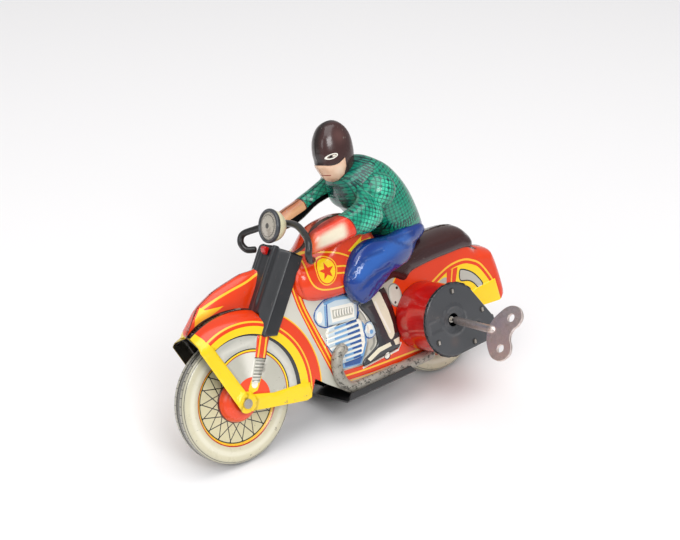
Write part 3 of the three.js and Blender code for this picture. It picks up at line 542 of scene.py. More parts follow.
def engine_layers():
    layers = [(BLUE_DEEP, [curve(offset_line(ROCKER, -0.5, True), True, 2)]), (BLUE_PALE, [ROCKER]),
              (BLUE_MID, ribbon([(-48, 27.6), (-54, 27.9), (-65, 25.6)], 1.5)),
              (BLUE_DEEP, ribbon([(-49.2, 27), (-47.6, 17.4)], 0.7)),
              (BLUE_MID, ribbon([(-48.2, 26.6), (-46.6, 18)], 0.9)),
              (WHITE, [[(-50.6, 25.0), (-50.2, 18.2), (-62.3, 16.8), (-63.4, 23.2)]]),
              (PANEL, [[(-51.4, 23.6), (-51.0, 19.6), (-61.6, 18.2), (-62.0, 21.8)]])]
    for i in range(7):
        x = -52.6 - 1.45 * i
        layers.append((WHITE, [disc(x, 21.6 - 0.19 * i, 0.6, 1.5, 0.15, 16)]))
        layers.append((PANEL_DARK, [disc(x - 0.5, 21.3 - 0.19 * i, 0.28, 1.2, 0.15, 12)]))
    layers += [(WHITE, [disc(-44.4, 22.6, 1.5, 2.6, 0.2, 24)]), (BLUE_DEEP, [BLOCK]),
               (WHITE, [curve(offset_line(BLOCK, 0.35, True), True, 2)]),
               (BLUE_MID, [[(-50.2, 0.6), (-50.6, -3.4), (-61.0, -5.0), (-63.4, -1.8), (-66.2, 3),
                            (-67.6, 10.6),
                            (-65.9, 13.6), (-65.2, 3.8), (-62.6, -0.4)]]),
               (BLUE_DEEP, [[(-52, -1.0), (-52.2, -3.0), (-60.4, -4.3), (-62.3, -1.6)]])]
    for start, end in zip(FIN_STARTS, FIN_ENDS):
        s, e = np.array(start), np.array(end)
        m = s * 0.45 + e * 0.55
        q = s * 0.12 + e * 0.88
        layers.append((BLUE_PALE, ribbon([s * 0.97 + e * 0.03, q], 1.5)))
        layers.append((BLUE_MID, ribbon([s * 0.8 + e * 0.2 + (0, 0.1), q], 0.95)))
        layers.append((BLUE_DEEP, ribbon([m, q], 0.8, taper=1.6)))
        layers.append((WHITE, ribbon([s + (0, 0.95), q + (0, 0.95)], 0.35)))
    layers += [(BLUE_DEEP, [disc(-69.4, 8.0, 3.9)]), (BLUE_PALE, [disc(-69.3, 8.2, 3.4)]),
               (WHITE, [disc(-68.7, 9.0, 2.1)]), (BLUE_MID, [disc(-69.7, 7.2, 1.0)]),
               (PANEL_DARK, ribbon(curve([(-66, 19), (-68, 15.5), (-69, 12.4)]), 1.3)),
               (WHITE, ribbon(curve([(-66.4, 19), (-68.3, 15.6), (-69.2, 12.6)]), 0.5)),
               (PANEL_DARK, ribbon(curve([(-71, 4), (-70, 1), (-67.5, -0.8)]), 1.2))]
    return layers


def boot_layers():
    layers = [(INK, [BOOT]), (CHARCOAL, [curve(offset_line(BOOT, 0.4, True), True, 1)]),
              (CREAM, [curve([(-73.6, 22), (-79.0, 22.4), (-81.2, 13), (-82.0, 7), (-81.9, 2.2),
                              (-79.2, 0.2),
                              (-77.6, 4.8), (-76.2, 10.4)], True, 4)]),
              (BROWN, [[(-78.6, 22.9), (-81.8, 24), (-84.4, 14), (-85.2, 6), (-84.8, 1.7), (-81.9, 2.2),
                        (-82, 7),
                        (-81.2, 13)]]),
              (WHITE, ribbon([(-74.8, 19.6), (-76.8, 12), (-79.6, 3.2)], 1.0)),
              (CREAM, [[(-64.6, -3.9), (-71.4, -1.2), (-78.4, -0.9), (-79.0, -2.8), (-72, -3.2),
                        (-65.8, -5.4)]]),
              (CREAM, [[(-80.6, -0.6), (-84.2, -0.4), (-84.0, -3.6), (-81.2, -3.2)]]),
              (INK, ribbon([(-62.6, -6.0), (-72, -4.9), (-82.8, -4.6)], 0.5)),
              (WHITE, ribbon([(-61.6, -7.1), (-72, -6.4), (-82.6, -6.2), (-85, -3.4)], 0.9)),
              (INK, [disc(-76, -6.5, 1.9)]), (WHITE, [disc(-76, -6.4, 1.5)])]
    return layers


def fork_and_fender_layers():
    c = (-2.0, 1.5)
    layers = [(LINE, [disc(*c, 37.6, steps=96)]), (ORANGE, [disc(*c, 37.0, steps=96)]),
              (ORANGE, [[(-16, 40), (20, 40), (20, 26), (8, 26), (-16, 30)]]),
              (LINE, [disc(*c, 32.4, steps=96)]), (ORANGE, [disc(*c, 31.7, steps=96)]),
              (YELLOW, [disc(*c, 30.4, steps=96)]),
              (INK, [disc(-1.5, 1.9, 26.9, steps=96)]), (CHARCOAL, [disc(-1.7, 1.7, 26.5, steps=96)]),
              (TYRE_PRINT, [disc(-0.7, 2.5, 25.8, steps=96)]),
              (blend_to(WHITE, lambda p: 0.5
                        * smooth(2.6 - np.abs(np.hypot(p[:, 0] + 1.5, p[:, 1] - 2.3) - 22.4),
                                                      0, 2.6)), [disc(-0.7, 2.5, 25.6, steps=96)]),
              (INK, [disc(-2.8, 2.6, 19.7, steps=96)]), (YELLOW, [disc(-2.8, 2.6, 19.2, steps=96)]),
              (hue("a8281a"), [disc(-2.8, 2.6, 18.5, steps=96)]), (PANEL, [disc(-2.8, 2.6, 18.1, steps=96)]),
              (blend_to(WHITE, lambda p: 0.75 * smooth(np.cos(3 * np.arctan2(p[:, 1] - 1, p[:, 0] + 3.5)
                                                              + 0.6),
                                                       0.1, 1)), [disc(-2.8, 2.6, 18.0, steps=96)]),
              (HUB_RED, [disc(-3.4, 1.2, 8.9)]),
              (YELLOW, [[(-10, 8.2), (-7.6, 9.8), (-6.4, 6.4), (-4.6, 8.6), (-2.4, 5.4), (-2, 3),
                         (-6.6, 3.4)]]),
              (YELLOW, [FRONT_STAY]), (YELLOW, [REAR_STAY]),
              (YELLOW, [[(18, 26), (11.4, 31.6), (12.4, 37), (20, 36)]]),
              (YELLOW, [disc(0, 0, 5.0)]),
              (ORANGE, [STRUT]), (LINE, ribbon([(-13.8, 25.3), (-9.9, 16.6)], 0.8)),
              (LINE, ribbon([(-16.6, 24.4), (-12.7, 15.5)], 0.8)),
              (INK, ribbon([(-8.7, 17.2), (-14.1, 14.8)], 0.5)), (PANEL, [SPRING])]
    for i in range(7):
        t = (i + 0.5) / 7
        a = np.array((-13.7, 14.6)) * (1 - t) + np.array((-8.3, 6.4)) * t
        b = np.array((-9.1, 16.6)) * (1 - t) + np.array((-4.6, 7.6)) * t
        layers.append((PANEL_DARK, ribbon([a, b], 0.5)))
        layers.append((WHITE, ribbon([a + (0.3, -0.5), b + (0.3, -0.5)], 0.35)))
    layers.append((WHITE, [disc(-5.9, 6.3, 1.6)]))
    return layers


def rear_layers():
    top = curve([(-94, -2), (-98.5, 8.5), (-105, 14.6), (-112.5, 18.4), (-121, 21.1), (-129.4, 21.2),
                 (-135, 19.2), (-139.6, 15.8), (-143.9, 8.8), (-146.4, 2.4)], steps=6)
    under = list(map(tuple, offset_line(top, 1.9)))
    window = curve([(-126.6, 17.4), (-131.2, 15.8), (-135.4, 12.4), (-138.9, 6.8), (-136.0, 4.8),
                    (-133.2, 8.4), (-130.2, 10.6), (-125.4, 12.4)], True, 4)
    ahead = curve([(-117.6, 15.9), (-112.6, 15.2), (-105.8, 11.6), (-99.4, 5.6), (-101, 3.4), (-106.6, 7.4),
                   (-112, 10.2), (-116.4, 11.2)], True, 4)
    layers = [(LINE, [disc(*REAR, 35.4, steps=96)]), (ORANGE, [disc(*REAR, 34.8, steps=96)]),
              (ORANGE, [[(-100, 30), (-96, 14), (-110, 10), (-160, -10), (-162, 30), (-140, 40)]]),
              (LINE, ribbon(top, 0.9)), (YELLOW, [under + [(-146, -6), (-113, -5), (-96, -4)]]),
              (INK, [window]), (TYRE_PRINT, [curve(offset_line(window, 0.6, True), True, 1)]),
              (INK, [ahead]), (TYRE_PRINT, [curve(offset_line(ahead, 0.6, True), True, 1)]),
              (ORANGE, [[(-118.8, 19.2), (-125.6, 19.0), (-119.6, 5.6), (-115.4, 6.4)]]),
              (LINE, ribbon([(-122.2, 19.1), (-117.6, 6)], 0.7)),
              (HUB_RED, [disc(REAR[0], 0, 8.6)]), (YELLOW, [BACK_STAY]), (YELLOW, [disc(REAR[0], 0, 5.0)])]
    return layers


def tank_layers():
    outline = curve([(-44.4, 50.2), (-42.7, 47.2), (-41.3, 43.1), (-42.4, 38.4), (-46.4, 35.0),
                     (-53.8, 33.1), (-61.2, 32.8), (-68, 33.8), (-75, 36.6)], steps=6)
    top = curve([(-44.4, 50.2), (-48, 50.5), (-52.1, 49.7), (-58.4, 47.6), (-66.4, 42.6)], steps=6)
    layers = [(ORANGE, [TANK]),
              (blend_to(ORANGE_DEEP, lambda p: smooth(36 - p[:, 1], 0, 7)), [TANK]),
              (blend_to(hue("8e4438"), lambda p: 0.8 * smooth(distance(p, TANK_TOP), 7, 2.5) * smooth(
                  -p[:, 0], 52, 62)), [TANK]),
              (LINE, ribbon(outline, 0.7)), (LINE, ribbon(top, 0.7)),
              (LINE, ribbon([(-54.6, 42.7), (-60, 41.3), (-68, 38.4)], 0.75)),
              (LINE, ribbon([(-54.9, 39.6), (-60, 38.2), (-68, 35.6)], 0.75)),
              (LINE, [disc(-50.7, 42.0, 5.4, 6.3, 0.1)]), (ORANGE, [disc(-50.7, 42.0, 4.9, 5.8, 0.1)]),
              (YELLOW, [disc(-50.7, 42.0, 4.4, 5.3, 0.1)]), (ORANGE, [star(-50.7, 41.9, 3.9, 1.6)]),
              (YELLOW, [[(-63.5, 46.8), (-72.6, 51.0), (-71.2, 49.0), (-78, 48.6), (-75.4, 46.4),
                         (-67.5, 45.2)]])]
    return layers


def side_layers():
    down = [(-33.0, 43), (-35.0, 30), (-38.9, 16), (-42.6, 4), (-45.3, -5), (-48.6, -9), (-53.7, -9.6),
            (-66.7, -10.9), (-87, -11.9), (-104, -12.9)]
    up = [(-104, -8.6), (-87, -7.6), (-64, -6.2), (-51.4, -4.6), (-48.6, -1.6), (-46.2, 6.2), (-42.4, 18),
          (-39.2, 29), (-37.0, 43)]
    tube = down + up
    layers = [(PANEL, []),
              # Painted highlight: the grey side turns lighter towards its upper front. Painted shade: a
              # darker band runs behind the exhaust pipe.
              (blend_to(WHITE, lambda p: 0.35 * smooth(p[:, 0], -58, -40) * smooth(p[:, 1], -20, 30)), []),
              (blend_to(PANEL_DARK, lambda p: 0.5 * smooth(3.0 - np.abs(p[:, 1] + 14.6), 0, 3)), [])]
    layers += rear_layers()
    layers += [(INK, [curve(offset_line(tube, -0.3, True), True, 1)]), (ORANGE, [tube]),
               (LINE, ribbon(curve([(-34.1, 43), (-36.1, 29.8), (-40.1, 15.6), (-43.8, 3.4), (-46.6, -5)]),
                             0.6)),
               (LINE, ribbon(curve([(-35.9, 43), (-38.1, 29.2), (-41.6, 17.4), (-45.2, 5.4), (-47.7, -3.2),
                                    (-50.2, -6.4),
                                    (-54.4, -7.4), (-66, -8.5), (-86, -9.7), (-104, -10.7)]), 0.8)),
               (LINE, ribbon([(-47, -9.0), (-53.5, -10.1), (-66.7, -11.4), (-87, -12.4), (-104, -13.3)],
                             0.4))]
    layers += [(hue("ccc9bc"), [disc(-87.0, 18.4, 3.6, 5.4, -0.15)]),
               (PANEL_DARK, ribbon(disc(-87.0, 18.4, 3.6, 5.4, -0.15), 0.5, True)),
               (INK, [disc(-88.6, 21.3, 0.7, steps=16)]), (INK, [disc(-86.2, 15.2, 0.6, steps=16)]),
               (PANEL_DARK, ribbon(curve([(-89.6, 13), (-87.6, 7), (-88.4, 1)]), 0.8))]
    layers += engine_layers() + boot_layers() + fork_and_fender_layers()
    layers += [(BROWN, [SEAT]),
               (SEAT_GREY, [[(-108, 33.6), (-118, 32.8), (-130, 32.4), (-142, 31.6), (-142, 22),
                             (-132, 26.8),
                             (-121, 27.2), (-109, 27.2), (-100, 26.2), (-97, 30)]]),
               (BROWN, ribbon([(-97, 33), (-108, 33.7), (-118, 32.9), (-130, 32.5), (-142, 31.7)], 0.7)),
               (INK, ribbon(SEAT[:40], 0.45))]
    return layers + tank_layers()


RELIEF = [(BOOT, 0.9, 2.2), (ROCKER, 0.9, 1.2), (BLOCK, 0.6, 1.2), (FRONT_STAY, 0.35, 0.8),
          (REAR_STAY, 0.35, 0.8), (STRUT, 0.5, 1.0), (SPRING, 0.5, 1.0), (disc(0, 0, 5), 0.3, 1.0),
          (disc(-69.4, 8, 3.8), 0.8, 1.5), (disc(-87, 18.4, 3.6, 5.4, -0.15), 0.4, 1.0),
          (BACK_STAY, 0.3, 0.8)]


def side_height(line, ridge):
    """The side's reach from the middle plane; ridge lifts the edge to where a nacelle's crest lies."""
    reach_x = [-160, -141, -134, -92, -84, -60, -40, -30, -24, 20]
    reach = [5.5, 5.5, 6.5, 7, 9, 10, 10, 8, 6.6, 6.2]

    def height(points):
        depth = distance(points, line)
        base = ridge(points)
        edge = rounded(depth, np.interp(points[:, 0], reach_x, reach))
        found = base + (HALF_WIDTH - base) * edge
        in_tank = inside(points, [TANK])
        bulge = np.zeros(len(points))
        bulge[in_tank] = 4.6 * rounded(distance(points[in_tank], TANK_LOW), 8) * rounded(depth[in_tank], 12)
        found += bulge
        found += raised(points, SEAT, 1.3, 2.5) * rounded(depth, 5)
        for polygon, amount, span in RELIEF:
            found += raised(points, polygon, amount, span) * (edge > 0.97)
        for start, end in zip(FIN_STARTS, FIN_ENDS):
            near = distance(points, [start, end])
            found += 0.35 * np.clip(1 - (near / 0.9) ** 2, 0, 1)
        return found
    return height


def no_ridge(points):
    return np.zeros(len(points))


def nacelle_ridge(points):
    return 4.7 * smooth(-points[:, 0], -14.6, -2) * smooth(points[:, 0], -42, -30)


DEPTHS = (0.12, 0.45, 1.0, 1.8, 2.9, 4.3, 6.2, 8.4)
body_left = pressing(
    "body_pressing_left", LEFT_LINE + BOTTOM, side_height(LEFT_LINE, no_ridge),
    side_layers() + [(hue("3a1d12"), ribbon(LEFT_LINE, 0.42))], LITHO,
    rings=[(LEFT_LINE, DEPTHS), (TANK_LOW, (0.3, 0.9, 2, 3.5, 5.5)), (SEAT, (0.4, 1.2))],
)
place(body_left, "toy_body", "body_left_half")
body_right = pressing(
    "body_pressing_right", RIGHT_LINE + BOTTOM, side_height(RIGHT_LINE, nacelle_ridge),
    side_layers() + [(ORANGE, [FRONT_ARC[:-4] + [(-30, 60), (20, 60)]]), (LINE, ribbon(curve(
        [(6, 37.4), (0, 40.2), (-9, 43), (-20, 44.6), (-30, 45)]), 0.8))], LITHO, side=-1,
    rings=[(RIGHT_LINE, DEPTHS), (TANK_LOW, (0.3, 0.9, 2, 3.5, 5.5)), (SEAT, (0.4, 1.2))],
)
place(body_right, "toy_body", "body_right_half")
# The nacelle's near face runs from the seam on the fender's crown up to the ridge.
NACELLE_LINE = curve(RIDGE, steps=5)
NACELLE = [(14.8, 32.6), *NACELLE_LINE, (-36, 46), (-30, 36), *arc(-3, 0, FENDER_R - 1.5, 122, 63, 24)]


def nacelle_height(points):
    crest = nacelle_ridge(points)
    return -crest * (1 - rounded(distance(points, NACELLE_LINE), 8.5) * 0.94)


nacelle = pressing(
    "nacelle_near_face", NACELLE, nacelle_height, [
        (ORANGE, []), (LINE, ribbon(curve([(4.4, 40.4), (1.8, 41.6), (-5, 43.4), (-12, 44.6), (-19.7, 45.6),
                                           (-26.6, 47.0), (-34, 48)]), 0.9)),
        (YELLOW, [[(9.6, 35.2), (7.6, 38.6), (3.2, 41.9), (2.0, 40.6), (-6.4, 39.8), (-0.4, 38.0),
                   (4.0, 36.9)]]),
        (blend_to(ORANGE_DEEP, lambda p: 0.6 * smooth(distance(p, FRONT_ARC), 4, 0)), []),
        (hue("3a1d12"), ribbon(arc(-3, 0, FENDER_R, 62, 118, 30), 0.6))], LITHO,
    rings=[(NACELLE_LINE, DEPTHS)], pitch=1.6, wavy=False)
place(nacelle, "toy_body")

# A bent tab of bare tin shows where the two halves are held together on the fender's crown.
tab = mesh_object("seam_tab", [(-13.4, -0.7, 36.3), (-10.9, -0.7, 36.9), (-10.9, 1.0, 36.7),
                               (-13.4, 1.0, 36.1), (-13.4, -0.7, 36.7), (-10.9, -0.7, 37.3),
                               (-10.9, 0.9, 37.0), (-13.4, 0.9, 36.4)],
                  [(0, 3, 2, 1), (4, 5, 6, 7), (0, 1, 5, 4), (1, 2, 6, 5), (2, 3, 7, 6), (3, 0, 4, 7)],
                  flat=True)

# ---------------------------------------------------------------- plain finishes
def enamel(name, colour, wear_colour, rough=0.3, wear=0.4, speckle=0.0, metal=0.0, coat=0.3, scale=1.0):
    """Lacquer on tin: cloudy gloss, fine scratches and rubbed specks."""
    look = Look(name)
    cloud = look.noise(60 * scale, 4)
    tone = look.mix(look.band(cloud, 0.3, 0.7), tuple(c * 0.82 for c in colour),
                    tuple(c * 1.15 for c in colour))
    rub = look.math("MULTIPLY", look.band(look.noise(500 * scale, 3, 0.7), 0.60, 0.68, 0, wear),
                    look.band(look.noise(70 * scale, 2), 0.45, 0.6))
    scratch = look.band(look.noise(260 * scale, 2, stretch=(1, 8, 1)), 0.70, 0.74, 0, wear)
    marks = look.math("MAXIMUM", rub, scratch)
    if speckle:
        marks = look.math("MAXIMUM", marks, look.band(look.noise(330 * scale, 5, 0.8), 0.52, 0.58, 0,
                                                      speckle))
    look.bump(look.math("SUBTRACT", look.noise(45 * scale, 3), marks), 0.25, 0.0005)
    rough_now = look.math("MULTIPLY_ADD", look.noise(120 * scale, 4), 0.2, rough - 0.08)
    return look.finish(look.mix(marks, tone, wear_colour), rough_now, metal, coat)


def bare_metal(name, colour, dirt, rough=0.3, brushed=(1, 1, 1), dirty=0.5):
    """Worn bare or plated metal with tarnish in patches."""
    look = Look(name)
    patch = look.band(look.noise(110, 5, 0.7), 0.45, 0.68, 0, dirty)
    grain = look.noise(700, 2, stretch=brushed)
    colour_now = look.mix(patch, colour, dirt)
    colour_now = look.scaled(colour_now, look.math("MULTIPLY_ADD", grain, 0.3, 0.85))
    rough_now = look.math("ADD", look.math("MULTIPLY_ADD", grain, 0.15, rough - 0.07), look.math(
        "MULTIPLY", patch, 0.35))
    look.bump(grain, 0.15, 0.0003)
    return look.finish(colour_now, rough_now, 0.95)


DRUM_RED = enamel("drum_red_lacquer", hue("bd0c08"), hue("5d150f"), 0.2, wear=0.25, coat=0.6)
GUNMETAL = enamel("gunmetal_lacquer", hue("44474b"), hue("7c7a77"), 0.36, wear=0.45, metal=0.35)
BLACK = enamel("black_enamel", hue("1c1c1e"), hue("6a6560"), 0.3, wear=0.35)
SHIELD = enamel("shield_enamel", hue("232529"), hue("7b5548"), 0.34, wear=0.25, metal=0.1)
LAMP_CREAM = enamel("lamp_cream", hue("e3dcb8"), hue("8a7c5c"), 0.28, wear=0.3)
SILVER = enamel("worn_silver", hue("aaa69b"), hue("2b2a28"), 0.38, wear=0.5, speckle=0.85, metal=0.35,
                coat=0.0, scale=1.4)
STEEL = bare_metal("bare_steel", hue("c2bdb5"), hue("6d5d4e"), 0.32, (1, 1, 6))
KEY_STEEL = bare_metal("tarnished_key", hue("dccfca"), hue("957f78"), 0.34, (6, 1, 1), 0.6)
SPRING_STEEL = bare_metal("blued_spring", hue("4c5468"), hue("2c2a2c"), 0.3, (1, 6, 1))
BRASS = bare_metal("stamped_brass", hue("c39a4e"), hue("6f5326"), 0.32, (6, 6, 1))
BARE_TIN = bare_metal("bare_tin", hue("c9c4ba"), hue("7d6f60"), 0.3)
tab.data.materials.append(BARE_TIN)
place(tab, "toy_body")


def lathe(name, profile, material, sides=64, closed=False, colours=None):
    """A profile of (radius, y) turned about the y axis."""
    angles = np.linspace(0, 2 * math.pi, sides, endpoint=False)
    verts = [(r * math.cos(a), y, r * math.sin(a)) for r, y in profile for a in angles]
    faces, paint = [], []
    rows = len(profile)
    for row in range(rows if closed else rows - 1):
        for i in range(sides):
            j, nxt = (i + 1) % sides, (row + 1) % rows
            faces.append((row * sides + i, row * sides + j, nxt * sides + j, nxt * sides + i))
            if colours:
                paint.append(colours(row, i))
    corner = np.repeat(np.array(paint), 4, 0) if colours else None
    return mesh_object(name, verts, faces, corner, None, material)


def sweep(name, path, radius, material, sides=20, squash=1.0):
    """A round bar along a smooth path, with its ends rounded over."""
    line = [Vector(p) for p in curve3(path, 8)]
    count = len(line)
    tangents = [(line[min(i + 1, count - 1)] - line[max(i - 1, 0)]).normalized() for i in range(count)]
    side = tangents[0].cross(Vector((0.3, 0.9, 0.1))).normalized()
    angles = [math.radians(30 * k) for k in (1, 2, 3)]
    spots = [(line[0] - tangents[0] * radius * 0.6 * math.sin(a), tangents[0], math.cos(a))
             for a in angles[::-1]]
    spots += [(p, t, 1.0) for p, t in zip(line, tangents)]
    spots += [(line[-1] + tangents[-1] * radius * 0.6 * math.sin(a), tangents[-1], math.cos(a))
              for a in angles]
    verts, faces = [], []
    for spot, tangent, size in spots:
        side = (side - tangent * side.dot(tangent)).normalized()
        up = tangent.cross(side)
        size = max(size, 0.02)
        for i in range(sides):
            a = 2 * math.pi * i / sides
            verts.append(spot + (side * math.cos(a) + up * math.sin(a) * squash) * radius * size)
    for row in range(len(spots) - 1):
        for i in range(sides):
            j = (i + 1) % sides
            faces.append((row * sides + i, row * sides + j, (row + 1) * sides + j, (row + 1) * sides + i))
    faces += [tuple(range(sides))[::-1], tuple(range((len(spots) - 1) * sides, len(spots) * sides))]
    return mesh_object(name, verts, faces, None, None, material)


def curve3(points, steps):
    flat = [p[:2] for p in points], [(p[2], 0) for p in points]
    one, two = curve(flat[0], steps=steps), curve(flat[1], steps=steps)
    return [(a[0], a[1], b[0]) for a, b in zip(one, two)]


def slab(name, outline, low, high, material, holes=(), bevel=0.25):
    """A flat plate between two heights of y, with its edges eased."""
    loops = [list(outline)] + [list(h) for h in holes]
    spots, edges = [], []
    for loop in loops:
        start = len(spots)
        spots += loop
        edges += [(start + i, start + (i + 1) % len(loop)) for i in range(len(loop))]
    found = delaunay_2d_cdt([Vector(s) for s in spots], edges, [], 0, 1e-5)
    flat = np.array([tuple(v) for v in found[0]])
    tris = np.array(found[2])
    middles = flat[tris].mean(1)
    keep = inside(middles, [outline])
    for hole in holes:
        keep &= ~inside(middles, [hole])
    tris = tris[keep]
    n = len(flat)
    verts = [(x, low, z) for x, z in flat] + [(x, high, z) for x, z in flat]
    faces = [tuple(t) for t in tris] + [tuple(int(v) + n for v in t[::-1]) for t in tris]
    seen = {}
    for t in tris:
        for k in range(3):
            p, q = int(t[k]), int(t[(k + 1) % 3])
            seen[(p, q)] = True
    faces += [(q, p, p + n, q + n) for p, q in seen if (q, p) not in seen]
    obj = mesh_object(name, verts, faces, None, None, material, flat=True)
    modifier = obj.modifiers.new("eased", "BEVEL")
    modifier.width, modifier.segments, modifier.limit_method = bevel * MM, 2, "ANGLE"
    modifier.angle_limit = math.radians(50)
    return obj


# ---------------------------------------------------------------- wheels
WHEEL_PROFILE = [(1.1, 8.4), (5.0, 8.25), (7.2, 7.3), (8.5, 5.6), (9.2, 3.4), (10.0, 2.75), (17.6, 2.7),
                 (18.4, 2.95), (19.4, 3.6), (21.2, 4.1), (23.4, 4.2), (25.2, 3.95), (26.3, 3.5), (26.9, 2.9)]


def wheel_height(points):
    r = np.hypot(points[:, 0], points[:, 1])
    radii, heights = zip(*curve(WHEEL_PROFILE, steps=5))
    return np.interp(r, radii, heights) - SEAM


def wheel_layers():
    layers = [(TYRE, []),
              (blend_to(hue("a8a594"), lambda p: 0.55 * smooth(np.hypot(*p.T), 24.6, 26.8)), []),
              (blend_to(hue("efecdb"), lambda p: 0.6 * smooth(2.0 - np.abs(np.hypot(*p.T) - 22.4), 0, 2)),
               []),
              (hue("6c6a60"), ribbon(disc(0, 0, 26.2, steps=96), 0.3, True)),
              (hue("b52a1c"), [disc(0, 0, 19.6, steps=96)]), (LINE, [disc(0, 0, 19.1, steps=96)]),
              (hue("23301c"), [disc(0, 0, 18.3, steps=96)]), (hue("d2cba4"), [disc(0, 0, 17.8, steps=96)])]
    for i in range(36):
        a = math.radians(10 * i)
        lean_by = math.radians(26 if i % 2 else -26)
        layers.append((INK, ribbon([(8.6 * math.cos(a), 8.6 * math.sin(a)),
                                    (18.0 * math.cos(a + lean_by), 18.0 * math.sin(a + lean_by))], 0.42)))
    layers += [(hue("5a1a0c"), [disc(0, 0, 9.5)]), (HUB_RED, [disc(0, 0, 9.1)])]
    return layers


def tread_colour(row, i):
    groove, ground = hue("4a4842"), hue("a9a596")
    if row in (1, 4):
        return groove
    if row == 0:
        return hue("8b887c")
    phase = 0 if row == 2 else 5
    return groove if (i + phase) % 10 == 0 else ground


TREAD = [(26.85, 3.02), (26.95, 2.78), (27.0, 2.66), (27.0, 1.42), (27.0, 1.30), (27.0, 0.12), (26.4, 0.1)]


def wheel(name, body, node, x, side):
    spot = LEANING @ Matrix.Translation((x * MM, 0, 0))
    disc_piece = pressing(
        name, disc(0, 0, 26.9, steps=160), wheel_height, wheel_layers(), LITHO_WHEEL, side=side, pitch=2.0,
        holes=[disc(0, 0, 1.25, steps=24)], rings=[(disc(0, 0, r, steps=int(6 * r)), (0.01,)) for r in (
            2.6, 4, 5.4, 6.4, 7.2, 7.9, 8.5, 8.9, 9.3, 9.7, 10.2, 17.4, 18.7, 20, 21, 22, 23, 24, 25, 25.8,
            26.5)],
        wavy=False)
    place(disc_piece, body, node, matrix=spot)
    tread = lathe(name + "_tread", TREAD, LITHO_WHEEL, sides=480, colours=tread_colour)
    if side < 0:
        tread.data.transform(Matrix.Scale(-1, 4, (0, 1, 0)))
        tread.data.flip_normals()
    place(tread, body, matrix=spot)
    return disc_piece


for wheel_name, wheel_x in (("front_wheel", 0.0), ("rear_wheel", REAR[0])):
    wheel(wheel_name + "_disc_left", wheel_name, wheel_name + "_left", wheel_x, 1)
    wheel(wheel_name + "_disc_right", wheel_name, wheel_name + "_right", wheel_x, -1)


# ---------------------------------------------------------------- motor drum, cover and key
DRUM_R, TAIL_R, TAIL = 15.6, 6.2, (-116.5, -4.5)
DRUM_LOW, DRUM_HIGH, COVER_LOW = 10.9, 31.5, 31.8
PILLARS = [(-1.9, 12.8), (11, -7), (-16.8, -0.8), (-9.3, -13.4)]


def teardrop(spare, steps=44):
    gap = np.array(TAIL) - np.array(ARBOR)
    turn = math.degrees(math.acos((DRUM_R - TAIL_R) / np.hypot(*gap)))
    heading = math.degrees(math.atan2(gap[1], gap[0]))
    return (arc(*ARBOR, DRUM_R + spare, heading + turn, heading + 360 - turn, steps)
            + arc(*TAIL, TAIL_R + spare, heading - turn, heading + turn, steps // 3))


def drum():
    profile = [(0.0, DRUM_LOW), (0.05, 12.0), (-0.12, 13.6), (-0.12, 17.5), (-0.02, 18.2), (-0.12, 18.9),
               (-0.14, 28.2), (0.0, 29.6), (0.12, 30.6), (0.0, 31.3), (-0.3, DRUM_HIGH), (-0.6, 31.3),
               (-0.65, 20.0), (-0.65, 11.6)]
    rings = [[(x, y, z) for x, z in teardrop(spare)] for spare, y in profile]
    count = len(rings[0])
    verts = [v for ring in rings for v in ring]
    faces = []
    for row in range(len(rings) - 1):
        for i in range(count):
            j = (i + 1) % count
            faces.append((row * count + j, row * count + i, (row + 1) * count + i, (row + 1) * count + j))
    faces.append(tuple(range(count)))
    faces.append(tuple(range((len(rings) - 1) * count, len(rings) * count))[::-1])
    return mesh_object("motor_drum", verts, faces, None, None, DRUM_RED)


drum_piece = drum()
place(drum_piece, "toy_body", "motor_housing")


def cover_height(points):
    edge = distance(points, teardrop(0.8), True)
    from_arbor = np.hypot(points[:, 0] - ARBOR[0], points[:, 1] - ARBOR[1])
    found = 0.75 * rounded(edge, 1.0)
    found += 0.45 * smooth(1.3 - np.abs(from_arbor - 6.2), 0, 1.1)
    found -= 0.35 * smooth(4.2 - from_arbor, 0, 1.0)
    groove = np.maximum(np.abs(points[:, 1] - ARBOR[1] - 0.4) - 2.3,
                        np.abs(points[:, 0] - ARBOR[0] - 10.5) - 3.4)
    found -= 0.4 * smooth(-groove, -0.5, 0.4)
    from_tail = np.hypot(points[:, 0] - TAIL[0] - 3.2, points[:, 1] - TAIL[1] - 2.4)
    found -= 0.5 * smooth(2.2 - from_tail, 0, 0.8)
    return found + COVER_LOW - SEAM


cover = pressing(
    "motor_cover", teardrop(0.8, 60), cover_height, [
        (hue("3a3c40"), []),
        (blend_to(hue("2f3135"), lambda p: 0.8 * smooth(1.0 - distance(p, teardrop(0.8), True), 0, 1)), []),
        (blend_to(hue("5d4a43"), lambda p: 0.35 * smooth(4.0 - np.hypot(p[:, 0] + 98, p[:, 1] + 5), 0, 4)),
         []),
        *[(hue("26272a"), [disc(ARBOR[0] + x, ARBOR[1] + z, 1.55, steps=24)]) for x, z in PILLARS],
        (hue("1a1b1d"), [disc(TAIL[0] + 3.2, TAIL[1] + 2.4, 1.3, steps=24)])],
    litho("cover_lacquer", wear=0.25, gloss=0.36), pitch=1.1, holes=[disc(*ARBOR, 3.0, steps=40)], sheet=0.7,
    back=hue("2a2b2d"), rings=[(teardrop(0.8), (0.1, 0.3, 0.6, 0.95))], wavy=False)
place(cover, "toy_body", "motor_cover_plate")

KEY_LENGTH, KEY_START, KEY_TURN, KEY_TILT = 24.0, 33.6, 53.0, 4.5


